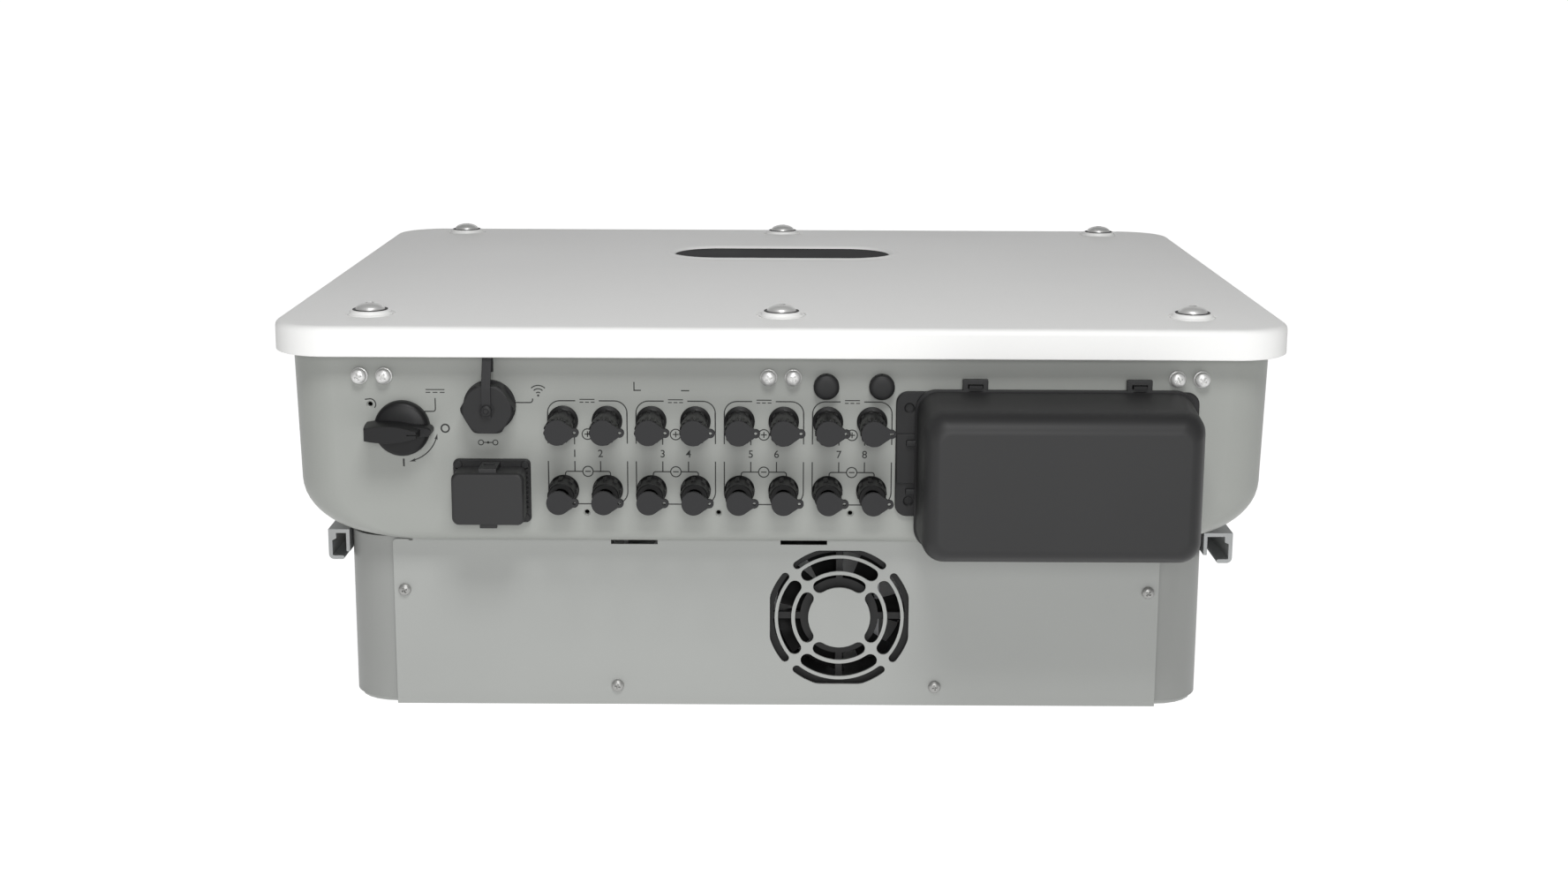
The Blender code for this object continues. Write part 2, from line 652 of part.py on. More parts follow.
def make_case_screws():
    """A pair of pan screws, joined inside the wall by the tapped strip that they pull on."""
    head = [(0, 6.2), (3.6, 5.5), (4.8, 3.2), (5.4, 1.4), (5.4, GAP), (2.5, GAP), (2.5, -6.0), (0, -6.0)]
    for name, centre in CASE_SCREW_CENTRES.items():
        place = on_wall(centre, CASE_SCREW_Z)
        strip = box(f"case_screws_{name}", (-14, 14), (-5, 5), (-7.5, -4.5), place, "bare_metal")
        join(strip, *[turned("screw", head, on_wall(x, CASE_SCREW_Z), "bare_metal", 8) for x in pair(centre)])
        smooth(strip)


def make_switch():
    x, z = SWITCH
    body = box("dc_switch_body", (-12, 30), (-26, 26), (-52.0, -4.6), on_wall(x, z), round_edges=2.0)
    join(body, turned("neck", [(0, -1.0), (8.0, -1.0), (8.0, -8.0), (0, -8.0)], on_wall(x, z)))
    skirt = [(0, 8.2), (15.2, 7.4), (17.4, 5.6), (17.8, 3.0), (17.8, 0.5), (3.0, 0.5), (3.0, -0.6), (0, -0.6)]
    knob = turned("dc_switch_knob", skirt, on_wall(x, z), steps=28)
    grip = arc((-3.0, -38.0), 43.8, 112, 68, 6) + arc((-3.0, 38.0), 43.8, -68, -112, 6)
    handle = prism("grip", [grip], 4.0, 25.5, on_wall(x, z))
    pointer = [(10.0, -3.6), (19.6, -2.4), (20.6, 0.0), (19.6, 2.4), (10.0, 3.6)]
    nose = prism("nose", [pointer], 4.0, 16.0, on_wall(x, z))
    join(knob, handle, nose)
    smooth(knob)


def make_dongle():
    """A threaded data port, its hexagonal screw cap, and the cap's pin and rubber strap."""
    x, z = DONGLE
    tube = [(7.0, 12.0), (10.2, 12.0), (10.2, 3.0), (16.6, 3.0), (16.6, GAP), (10.1, GAP), (10.1, -12.0),
            (7.0, -12.0)]
    turned("dongle_port", tube, on_wall(x, z), steps=24)
    cup = [(0, 16.8), (15.4, 16.8), (16.8, 15.4), (16.8, 3.4), (10.6, 3.4), (10.6, 12.4), (0, 12.4)]
    cap = turned("dongle_cap", cup, on_wall(x, z), steps=24)
    flats = [(17.2 * math.cos(math.radians(60 * i)), 17.2 * math.sin(math.radians(60 * i))) for i in range(6)]
    hexagon = prism("hexagon", [flats], 2.0, 18.0, on_wall(x, z))
    combine(cap, "INTERSECT", [hexagon])
    well = turned("pin_well", [(0, 18.0), (2.2, 18.0), (2.2, 14.4), (0, 14.4)], on_wall(x, z), steps=12)
    cut(cap, well)
    rivet = [(0, 20.8), (2.9, 20.6), (3.7, 19.8), (3.7, 19.1), (1.7, 19.1), (1.7, 14.7), (0, 14.7)]
    smooth(turned("dongle_cap_pin", rivet, on_wall(x, z), steps=16))
    rise = [(18.1, -5.0), (18.1, 0.0), (18.1, 8.0), (18.1, 14.0), (17.0, 18.0), (14.6, 23.0), (11.6, 29.0),
            (9.6, 35.0), (8.2, 38.4), (6.2, 39.6), (4.2, 38.2), (3.4, 35.0), (3.0, 29.0), (2.8, 22.0)]
    centre_line = [(PANEL_Y - reach, z + height) for reach, height in rise]
    strap = prism("dongle_strap", [thick_path(centre_line, 1.5)], -2.9, 2.9, across(x), "rubber")
    pin_hole = [(0, 20.0), (2.2, 20.0), (2.2, 16.6), (0, 16.6)]
    cut(strap, turned("strap_hole", pin_hole, on_wall(x, z), steps=12))


def make_com_port():
    """A flanged data connector, and its press-on cap with a latch arm above."""
    frame = on_wall(*COM)
    port = prism("com_port", [rectangle(-24.6, 24.6, -20.6, 20.6, 3.3)], GAP, 3.3, frame)
    join(port, box("com_body", (-20.3, 20.3), (-14.3, 14.3), (2.0, 22.0), frame),
         box("com_tail", (-15.0, 15.0), (-10.0, 10.0), (-18.0, 2.0), frame))
    cut(port, box("com_socket", (-16.0, 16.0), (-10.0, 10.0), (8.0, 24.0), frame))
    rings = [level(-22.2, 22.2, -16.3, 16.3, 3.5, 5.5, 3), level(-22.85, 22.85, -16.9, 16.9, 4.5, 24.4, 3),
             level(-22.4, 22.4, -16.5, 16.5, 4.3, 26.4, 3), level(-21.2, 21.2, -15.3, 15.3, 3.6, 27.2, 3)]
    cap = loft("com_cap", rings, frame, "black_plastic")
    cut(cap, box("com_hollow", (-20.7, 20.7), (-14.7, 14.7), (4.0, 24.6), frame))
    join(cap, box("com_latch", (-5.8, 5.8), (16.4, 19.6), (4.5, 25.2), frame, round_edges=0.5),
         box("com_tab", (-5.5, 5.5), (-19.0, -16.4), (22.8, 25.8), frame, round_edges=0.5))
    smooth(cap)


def make_vents():
    profile = [(0, 7.2), (6.6, 6.9), (8.1, 5.0), (8.1, GAP), (4.8, GAP), (4.8, -7.0), (0, -7.0)]
    for number, (x, z) in enumerate(VENTS, 1):
        smooth(turned(f"vent_valve_{number}", profile, on_wall(x, z), steps=20))


def make_ac_connector():
    """The AC terminal base on the panel, and the deep cover that clips over it."""
    frame = on_wall()
    holes = [circle(81.5, 204.5, 2.6, 10), circle(81.5, 144.0, 2.6, 10)]
    base = prism("ac_base", [rectangle(*AC_FLANGE, 7.5), *holes], GAP, 3.3, frame)
    x0, x1, z0, z1 = AC_BODY
    join(base, box("ac_walls", (x0, x1), (z0, z1), (1.0, 30.0), frame))
    cut(base, box("ac_pocket", (x0 + 3, x1 - 3), (z0 + 3, z1 - 3), (4.5, 32.0), frame))
    join(base, box("ac_terminals", (x0 + 14, x1 - 14), (148, 180), (4.0, 24.0), frame))
    cut(base, bundle("terminal_slots", *[
        box("slot", (x0 + 20 + 27 * i, x0 + 40 + 27 * i), (140, 172), (10.0, 26.0), frame) for i in range(5)]))
    tongues = [box("tongue", (x - 4.2, x + 4.2), (218.6, 220.4), (0.9, 11.0), frame) for x in AC_LOOPS_X]
    tongues += [box("tongue_root", (x - 6.5, x + 6.5), (210.0, 221.0), (0.7, 2.9), frame) for x in AC_LOOPS_X]
    join(base, *tongues)
    outer = [level(85.0, 262.0, 114.0, 217.0, 13.0, 4.2), level(87.0, 259.0, 119.0, 214.0, 13.0, 58.0),
             level(88.0, 257.6, 121.0, 213.0, 13.0, 67.0), level(90.4, 255.0, 123.6, 210.6, 11.0, 72.0),
             level(94.5, 251.0, 127.6, 206.6, 7.0, 74.0)]
    hollow = [level(87.5, 259.5, 116.5, 214.5, 10.5, 3.0), level(89.8, 256.2, 121.8, 211.2, 10.5, 60.0),
              level(93.0, 252.6, 126.0, 208.0, 8.0, 71.0)]
    cover = loft("ac_cover", outer, frame, "black_plastic")
    cut(cover, loft("ac_hollow", hollow, frame, "black_plastic"))
    for x in AC_LOOPS_X:
        join(cover, box("loop", (x - 8.0, x + 8.0), (215.6, 224.0), (4.9, 8.4), frame, round_edges=0.6))
        cut(cover, box("loop_slot", (x - 4.9, x + 4.9), (218.1, 220.9), (3.0, 10.0), frame))
    smooth(cover)


# ---------------------------------------------------------------- inside the housing

def make_internals():
    board = box("power_board", (-225, 225), (-150, 190), (134.0, 136.0), placed(), "circuit_board")
    posts = [turned("post", [(0, 135.0), (4.0, 135.0), (4.0, 126.0), (0, 126.0)], placed(x, y), steps=8)
             for x in (-210, 0, 210) for y in (-135, 175)]
    modules = [box("module", (x - 34, x + 34), (y - 24, y + 24), (124.8, 134.5), placed()) for x in (-120, 0, 120)
               for y in (-60, 60)]
    join(board, bundle("board_posts", *posts), bundle("power_modules", *modules))
    bank = box("capacitor_bank", (-200, -20), (-40, 60), (136.4, 139.0), placed(), "dark_metal")
    cans = [turned("can", [(0, 188.0), (16.0, 188.0), (16.0, 138.0), (0, 138.0)], placed(x, y), steps=10)
            for x in (-180, -145, -110, -75, -40) for y in (-18, 38)]
    join(bank, bundle("capacitor_cans", *cans))
    chokes = box("choke_block", (10, 205), (20, 120), (136.4, 196.0), placed(), "dark_metal", round_edges=4.0)
    cut(chokes, bundle("potting_wells", *[box("well", (x - 26, x + 26), (32, 108), (190.0, 198.0), placed())
                                          for x in (45, 107, 169)]))


# ---------------------------------------------------------------- assembly

for old in list(bpy.data.objects):
    bpy.data.objects.remove(old)
PARTS = collection("string_inverter")
CUTTERS = collection("cutters")
make_front_cover()
make_cover_screws()
make_gasket()
make_housing()
make_shrouds()
make_rear_plate()
make_fan_plate()
make_outlet_grille()
make_fan()
make_heat_sink()
make_rails()
make_sockets()
make_dust_caps()
make_case_screws()
make_switch()
make_dongle()
make_com_port()
make_vents()
make_ac_connector()
make_internals()
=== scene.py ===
"""The looks of the string inverter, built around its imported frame.

Sizes are in millimetres and become metres when a mesh is made. Places are read from the frame's nodes. In a wall
frame, outlines are in X and Z and heights run out of the wall, towards -Y.
"""

import json
import math

import bmesh
import bpy
from mathutils import Matrix, Vector

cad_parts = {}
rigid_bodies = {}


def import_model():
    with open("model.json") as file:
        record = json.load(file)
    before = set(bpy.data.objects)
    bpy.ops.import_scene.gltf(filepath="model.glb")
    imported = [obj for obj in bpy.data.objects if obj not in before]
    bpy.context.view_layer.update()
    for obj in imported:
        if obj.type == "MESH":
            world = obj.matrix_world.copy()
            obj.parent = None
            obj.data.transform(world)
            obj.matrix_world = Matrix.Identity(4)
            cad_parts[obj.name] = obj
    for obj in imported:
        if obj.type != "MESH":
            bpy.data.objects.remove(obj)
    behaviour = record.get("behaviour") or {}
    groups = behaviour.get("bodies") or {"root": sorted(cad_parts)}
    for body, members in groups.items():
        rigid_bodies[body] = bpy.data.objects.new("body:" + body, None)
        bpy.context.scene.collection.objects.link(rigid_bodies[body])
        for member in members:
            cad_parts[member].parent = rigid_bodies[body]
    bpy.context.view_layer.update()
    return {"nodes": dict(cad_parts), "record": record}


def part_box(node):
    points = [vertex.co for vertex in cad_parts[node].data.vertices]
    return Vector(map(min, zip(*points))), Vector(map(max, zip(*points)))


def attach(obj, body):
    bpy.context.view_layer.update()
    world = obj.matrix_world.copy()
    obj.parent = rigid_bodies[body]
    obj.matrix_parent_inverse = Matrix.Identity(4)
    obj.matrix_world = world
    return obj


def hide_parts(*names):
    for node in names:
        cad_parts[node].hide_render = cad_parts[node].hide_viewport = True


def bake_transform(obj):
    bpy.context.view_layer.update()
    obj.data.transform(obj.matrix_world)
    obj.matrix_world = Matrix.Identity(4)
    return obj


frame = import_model()

MM = 0.001
GAP = 0.3
BEHAVIOUR = frame["record"]["behaviour"]
BODY_OF = {node: body for body, nodes in BEHAVIOUR["bodies"].items() for node in nodes}
SLOT_OF = {part["node"]: part["material_slot"] for part in frame["record"]["subparts"]}


# ---------------------------------------------------------------- places, read from the frame

def span(node):
    """The low and high of a node on each axis, in millimetres."""
    low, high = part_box(node)
    return [(a / MM, b / MM) for a, b in zip(low, high)]


def middle(node):
    return [(low + high) / 2 for low, high in span(node)]


def on_panel(node):
    """Where a node's middle lies in a wall frame, in X and Z."""
    x, _, z = middle(node)
    return x, z


COVER_HALF_X = span("front_cover")[0][1]
COVER_HALF_Y = span("front_cover")[1][1]
COVER_LOW = span("front_cover")[2][0]
COVER_EDGE = COVER_LOW + 19.5
CROWN = 5.5
COVER_WALL = 2.5
SCREW_TOP = span("cover_screw_near_left")[2][1]
BADGE = span("cover_badge")
HOUSING_HALF_X, HOUSING_HALF_Y = (span("housing")[axis][1] for axis in (0, 1))
HOUSING_LOW, HOUSING_TOP = span("housing")[2]
PANEL_Y = -HOUSING_HALF_Y
PLATE = span("fan_plate")
PLATE_Y = PLATE[1][1]
DUCT_X = (PLATE[0][0] + PLATE[0][1]) / 2
DUCT_TOP = span("duct_shroud_left")[2][1]
SHROUD_LOW = span("duct_shroud_left")[2][0]
DUCT_HALF_Y = span("duct_shroud_left")[1][1]
DUCT_HALF_X = DUCT_X - span("duct_shroud_left")[0][0]
SHEET = PLATE[1][1] - PLATE[1][0]
FAN_X, FAN_Z = on_panel("fan_frame")
FAN_Y = span("fan_frame")[1][0]
FAN_SIZE = span("fan_frame")[0][1] - span("fan_frame")[0][0]
ROTOR_RADIUS = 42.5
POSITIVE_Z = middle("dust_cap_positive_1")[2]
NEGATIVE_Z = middle("dust_cap_negative_1")[2]
SOCKET_PITCH = middle("dust_cap_positive_2")[0] - middle("dust_cap_positive_1")[0]
SOCKETS = [span("positive_sockets")[0][0] + 9.7 + SOCKET_PITCH * n for n in range(8)]
SWITCH = (-240.5, 190.0)
LOCK_HOLE = (-260.8, 204.8)
DONGLE = on_panel("dongle_port")
COM = on_panel("com_port")
AC_BASE = span("ac_base")
SIDES = ("left", "middle", "right")
SCREW_PAIR = (-7.75, 7.75)


# ---------------------------------------------------------------- outlines

def arc(centre, radius, start, end, steps):
    """Points along an arc, with its angles in degrees."""
    angles = [math.radians(start + (end - start) * i / steps) for i in range(steps + 1)]
    return [(centre[0] + radius * math.cos(a), centre[1] + radius * math.sin(a)) for a in angles]


def circle(x, y, radius, steps=32, turn=0.0):
    return arc((x, y), radius, turn, 360 + turn, steps)[:-1]


def rectangle(x0, x1, y0, y1, radius=0.0, steps=8):
    """A rectangle with round corners, counter-clockwise."""
    if not radius:
        return [(x0, y0), (x1, y0), (x1, y1), (x0, y1)]
    centres = ((x1 - radius, y1 - radius), (x0 + radius, y1 - radius),
               (x0 + radius, y0 + radius), (x1 - radius, y0 + radius))
    points = []
    for quarter, centre in enumerate(centres):
        points += arc(centre, radius, 90 * quarter, 90 * quarter + 90, steps)
    return points


def stadium(half_x, half_y, steps=24):
    straight = half_x - half_y
    return arc((straight, 0), half_y, -90, 90, steps) + arc((-straight, 0), half_y, 90, 270, steps)


def thick_path(points, thickness):
    """The outline of a strip of even thickness along a path."""
    sides = ([], [])
    for i, point in enumerate(points):
        before = Vector(points[max(i - 1, 0)])
        after = Vector(points[min(i + 1, len(points) - 1)])
        along = (after - before).normalized()
        across = Vector((-along.y, along.x)) * thickness / 2
        sides[0].append(tuple(Vector(point) + across))
        sides[1].append(tuple(Vector(point) - across))
    return sides[0] + sides[1][::-1]


def flowing(points, steps=6):
    """A smooth curve through a few points, which keeps its ends."""
    ends = [points[0], *points, points[-1]]
    found = [Vector(points[0])]
    for a, b, c, d in zip(ends, ends[1:], ends[2:], ends[3:]):
        a, b, c, d = (Vector(point) for point in (a, b, c, d))
        for i in range(1, steps + 1):
            t = i / steps
            found.append((b * 2 + (c - a) * t + (a * 2 - b * 5 + c * 4 - d) * t ** 2
                          + (b * 3 - a - c * 3 + d) * t ** 3) / 2)
    return [tuple(point) for point in found]


# ---------------------------------------------------------------- frames

def placed(x=0.0, y=0.0, z=0.0):
    """An outline in X and Y, raised along +Z."""
    return Matrix.Translation(Vector((x, y, z)) * MM)


def on_wall(x=0.0, z=0.0, y=PANEL_Y):
    """An outline in X and Z, raised towards -Y from a wall at y."""
    return placed(x, y, z) @ Matrix.Rotation(math.pi / 2, 4, "X")


def across(x=0.0, y=0.0, z=0.0):
    """An outline in Y and Z, raised along +X."""
    turn = Matrix(((0, 0, 1, 0), (1, 0, 0, 0), (0, 1, 0, 0), (0, 0, 0, 1)))
    return placed(x, y, z) @ turn


# ---------------------------------------------------------------- shapes

def add_object(name, data, place=Matrix()):
    obj = bpy.data.objects.new(name, data)
    bpy.context.scene.collection.objects.link(obj)
    obj.matrix_world = place
    return obj


def from_bmesh(name, shape, place):
    mesh = bpy.data.meshes.new(name)
    shape.to_mesh(mesh)
    shape.free()
    return add_object(name, mesh, place)


def evaluated_mesh(obj):
    graph = bpy.context.evaluated_depsgraph_get()
    return bpy.data.meshes.new_from_object(obj.evaluated_get(graph))


def bake(obj):
    """Replaces the mesh by its evaluated shape."""
    mesh = evaluated_mesh(obj)
    obj.modifiers.clear()
    obj.data = mesh
    return obj


def prism(name, outlines, low, high, place):
    """A flat outline, with any holes as further outlines, raised from low to high."""
    curve = bpy.data.curves.new(name, "CURVE")
    curve.dimensions = "2D"
    curve.fill_mode = "BOTH"
    curve.extrude = (high - low) / 2 * MM
    for outline in outlines:
        spline = curve.splines.new("POLY")
        spline.points.add(len(outline) - 1)
        for point, (x, y) in zip(spline.points, outline):
            point.co = (x * MM, y * MM, 0.0, 1.0)
        spline.use_cyclic_u = True
    guide = add_object(name, curve)
    flat = evaluated_mesh(guide)
    bpy.data.objects.remove(guide)
    shape = bmesh.new()
    shape.from_mesh(flat)
    bmesh.ops.remove_doubles(shape, verts=shape.verts, dist=1e-6)
    bmesh.ops.translate(shape, verts=shape.verts, vec=(0.0, 0.0, (high + low) / 2 * MM))
    bmesh.ops.recalc_face_normals(shape, faces=shape.faces)
    bmesh.ops.dissolve_limit(shape, angle_limit=0.001, verts=shape.verts, edges=shape.edges)
    return from_bmesh(name, shape, place)


def loft(name, rings, place):
    """A solid through rings of equal point counts, closed at the first and the last."""
    shape = bmesh.new()
    loops = [[shape.verts.new(Vector(point) * MM) for point in ring] for ring in rings]
    for below, above in zip(loops, loops[1:]):
        for i in range(len(below)):
            j = (i + 1) % len(below)
            shape.faces.new((below[i], below[j], above[j], above[i]))
    shape.faces.new(loops[0][::-1])
    shape.faces.new(loops[-1])
    bmesh.ops.recalc_face_normals(shape, faces=shape.faces)
    return from_bmesh(name, shape, place)


def level(x0, x1, y0, y1, radius, height, steps=8):
    """One ring of a loft: a rounded rectangle at a height."""
    return [(x, y, height) for x, y in rectangle(x0, x1, y0, y1, radius, steps)]


def raised(outline, height):
    return [(x, y, height) for x, y in outline]


def box(name, x, y, z, place, edge=0.0):
    """A block from the low and high of each axis, with small round edges if asked."""
    obj = loft(name, [raised(rectangle(*x, *y), height) for height in z], place)
    return soften(obj, edge) if edge else obj


def turned(name, profile, place, steps=48):
    """A turned solid with flat ends, from a profile of (radius, height)."""
    return loft(name, [raised(circle(0, 0, radius, steps), height) for radius, height in profile], place)


def tube(name, profile, place, steps=48):
    """A turned ring. The profile of (radius, height) is closed and never meets the axis."""
    shape = bmesh.new()
    loops = [[shape.verts.new(Vector(point) * MM) for point in raised(circle(0, 0, radius, steps), height)]
             for radius, height in profile]
    for below, above in zip(loops, loops[1:] + loops[:1]):
        for i in range(steps):
            j = (i + 1) % steps
            shape.faces.new((below[i], below[j], above[j], above[i]))
    bmesh.ops.recalc_face_normals(shape, faces=shape.faces)
    return from_bmesh(name, shape, place)


def bundle(name, objects):
    """One object from several, in world places."""
    shape = bmesh.new()
    for obj in objects:
        mesh = evaluated_mesh(obj)
        mesh.transform(obj.matrix_world)
        shape.from_mesh(mesh)
        bpy.data.objects.remove(obj)
    return from_bmesh(name, shape, Matrix())


def combine(target, operation, tools):
    for tool in tools:
        modifier = target.modifiers.new(operation.lower(), "BOOLEAN")
        modifier.operation = operation
        modifier.object = tool
    bake(target)
    for tool in tools:
        bpy.data.objects.remove(tool)
    return target


def join(target, *tools):
    return combine(target, "UNION", tools)


def cut(target, *tools):
    return combine(target, "DIFFERENCE", tools)


def soften(obj, width, segments=2, angle=40):
    """Rounds the edges by a width and bakes the result."""
    bevel = obj.modifiers.new("round_edges", "BEVEL")
    bevel.width = width * MM
    bevel.segments = segments
    bevel.limit_method = "ANGLE"
    bevel.angle_limit = math.radians(angle)
    bevel.miter_outer = "MITER_ARC"
    return bake(obj)


def smooth(obj, angle=40):
    """Smooth shading that keeps flat faces flat."""
    obj.data.shade_smooth()
    obj.data.set_sharp_from_angle(angle=math.radians(angle))
    weighted = obj.modifiers.new("even_shading", "WEIGHTED_NORMAL")
    weighted.keep_sharp = True
    return bake(obj)


# ---------------------------------------------------------------- pieces

def stand_in(obj, look, *nodes, body=None, slot=None, angle=40):
    """Finishes a piece: its shading, material and body, and the nodes that it stands for."""
    smooth(obj, angle)
    obj.data.materials.clear()
    obj.data.materials.append(look)
    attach(obj, body or BODY_OF[nodes[0]])
    if nodes:
        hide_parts(*nodes)
    return obj


def dress(node, look):
    """Gives a kept node its finished material."""
    obj = frame["nodes"][node]
    obj.data.materials.clear()
    obj.data.materials.append(look)


# ---------------------------------------------------------------- materials

def fill(node, values):
    for socket, value in values.items():
        node.inputs[socket].default_value = value


def material(name, colour, roughness, metallic=0.0, grain=1.0, grain_depth=0.02, tint=0.04, patch=9.0, spread=0.08,
             coat=0.0, shine=0.5, brushed=None):
    """A surface with a fine grain in its relief, and slow changes in its colour and gloss.

    grain is the size of the relief in millimetres, patch is the size of the slow changes in centimetres, and tint and
    spread are how much the colour and the roughness change.
    """
    made = bpy.data.materials.new(name)
    made.use_nodes = True
    nodes = made.node_tree.nodes
    links = made.node_tree.links
    shader = nodes["Principled BSDF"]
    fill(shader, {"Metallic": metallic, "Coat Weight": coat, "Specular IOR Level": shine, "Coat Roughness": 0.25})
    where = nodes.new("ShaderNodeTexCoord")
    fine = nodes.new("ShaderNodeTexNoise")
    fill(fine, {"Scale": 1.0 / (grain * MM), "Detail": 2.0})
    if brushed:
        stretch = nodes.new("ShaderNodeMapping")
        fill(stretch, {"Scale": brushed})
        links.new(where.outputs["Object"], stretch.inputs["Vector"])
        links.new(stretch.outputs["Vector"], fine.inputs["Vector"])
    else:
        links.new(where.outputs["Object"], fine.inputs["Vector"])
    bump = nodes.new("ShaderNodeBump")
    fill(bump, {"Strength": 0.6, "Distance": grain_depth * MM})
    links.new(fine.outputs["Fac"], bump.inputs["Height"])
    links.new(bump.outputs["Normal"], shader.inputs["Normal"])
    slow = nodes.new("ShaderNodeTexNoise")
    fill(slow, {"Scale": 100.0 / patch, "Detail": 4.0})
    links.new(where.outputs["Object"], slow.inputs["Vector"])
    both = nodes.new("ShaderNodeMath")
    both.operation = "MULTIPLY_ADD"
    both.inputs[1].default_value = 0.3
    links.new(fine.outputs["Fac"], both.inputs[0])
    links.new(slow.outputs["Fac"], both.inputs[2])
    ramp = nodes.new("ShaderNodeValToRGB")
    dark, light = ramp.color_ramp.elements
    dark.position, light.position = 0.45, 0.85
    dark.color = (*(c * (1 - tint) for c in colour), 1.0)
    light.color = (*(min(c * (1 + tint), 1.0) for c in colour), 1.0)
    links.new(both.outputs["Value"], ramp.inputs["Fac"])
    links.new(ramp.outputs["Color"], shader.inputs["Base Color"])
    gloss = nodes.new("ShaderNodeMapRange")
    fill(gloss, {"To Min": max(roughness - spread, 0.05), "To Max": roughness + spread})
    links.new(slow.outputs["Fac"], gloss.inputs["Value"])
    links.new(gloss.outputs["Result"], shader.inputs["Roughness"])
    made.diffuse_color = (*colour, 1.0)
    return made


WHITE_PAINT = material("white_paint", (0.78, 0.78, 0.77), 0.5, grain=1.4, grain_depth=0.012, tint=0.012, shine=0.25)
HOUSING_PAINT = material("housing_paint", (0.278, 0.287, 0.270), 0.42, tint=0.03)
DUCT_PAINT = material("duct_paint", (0.306, 0.314, 0.302), 0.42, grain_depth=0.016, tint=0.02, patch=14.0)
# A darker copy of the duct paint: painted shade on the shrouds, whose rounded sides turn away from the light.
SHADED_DUCT_PAINT = material("duct_paint_painted_shade", (0.245, 0.251, 0.241), 0.42, grain_depth=0.016, tint=0.02, patch=14.0)
RAIL_METAL = material("rail_metal", (0.34, 0.35, 0.35), 0.5, 0.5, grain=0.5, tint=0.05, brushed=(1.0, 0.05, 1.0))
SCREW_METAL = material("screw_metal", (0.62, 0.62, 0.61), 0.4, 0.45, grain=0.4, grain_depth=0.008, tint=0.05)
SHEET_SCREW = material("sheet_screw", (0.34, 0.34, 0.33), 0.42, 0.6, grain=0.4, grain_depth=0.008, tint=0.05)
PLASTIC = material("connector_plastic", (0.017, 0.017, 0.0175), 0.5, grain=0.5, tint=0.08, shine=0.25)
COVER_PLASTIC = material("cover_plastic", (0.025, 0.025, 0.0255), 0.5, grain=0.7, grain_depth=0.03, tint=0.05,
                         shine=0.25)
KNOB_PLASTIC = material("knob_plastic", (0.010, 0.010, 0.0105), 0.45, grain=0.6, grain_depth=0.015, tint=0.06,
                        shine=0.25)
# A darker copy of the connector plastic: painted shade for the socket barrels and for the dust caps' stems, which sit
# in shade.
SHADED_SOCKET_PLASTIC = material("socket_plastic_painted_shade", (0.007, 0.007, 0.007), 0.45, grain=0.5, tint=0.1, shine=0.25)
RUBBER = material("cap_rubber", (0.021, 0.021, 0.022), 0.6, grain=0.5, grain_depth=0.03, tint=0.08, shine=0.25)
FAN_PLASTIC = material("fan_plastic", (0.010, 0.010, 0.010), 0.45, grain=0.6, tint=0.1, shine=0.3)
BADGE_FACE = material("badge_face", (0.016, 0.016, 0.017), 0.6, grain=3.0, grain_depth=0.004, tint=0.05, shine=0.03)
INK = material("panel_ink", (0.012, 0.012, 0.0115), 0.6, grain=0.5, grain_depth=0.004, tint=0.2, patch=1.5)
FIN_METAL = material("fin_metal", (0.60, 0.61, 0.62), 0.38, 0.9, grain=0.5, tint=0.06, brushed=(1.0, 0.04, 1.0))
BOARD = material("circuit_board", (0.02, 0.14, 0.06), 0.4, grain=2.0, grain_depth=0.05, tint=0.2, patch=2.0,
                 coat=0.3)
CAN_METAL = material("can_metal", (0.16, 0.17, 0.18), 0.4, 0.8, grain=0.8, tint=0.08)


# ---------------------------------------------------------------- front cover

COVER_CORNER = 38.0
CROWN_CORNER = 34.0
CROWN_WIDTH = 205.0
EDGE_ROUND = 4.2
BOSS_STEPS = 64


def cover_ring(inset, height, spread=0.0):
    """A ring of the cover. Further in, its corners grow rounder, so that the crown has no creases."""
    if spread:
        radius = min(CROWN_CORNER + spread, COVER_HALF_Y - inset - 4.0)
    else:
        radius = max(COVER_CORNER - inset, 6.0)
    return level(inset - COVER_HALF_X, COVER_HALF_X - inset, inset - COVER_HALF_Y, COVER_HALF_Y - inset,
                 radius, height, 12)


def crown_height(inset):
    share = min(inset / CROWN_WIDTH, 1.0)
    return COVER_EDGE + CROWN * math.sin(share * math.pi / 2) ** 0.85


def cover_screws():
    for row in ("near", "far"):
        for side in SIDES:
            yield f"cover_screw_{row}_{side}"


def above(foot, *profile):
    """A profile of (radius, height) whose heights count from a foot."""
    return [(radius, foot + rise) for radius, rise in profile]


def badge_shape(name, sink, steps):
    """A loft on the badge's outline. Each step is how far it grows past the outline, and how far it rises."""
    (x0, x1), (y0, y1), (low, _) = BADGE
    half_x, half_y = (x1 - x0) / 2 - sink, (y1 - y0) / 2 - sink
    rings = [raised(stadium(half_x + grow, half_y + grow), low + sink + rise) for grow, rise in steps]
    return loft(name, rings, placed(0.0, (y0 + y1) / 2))


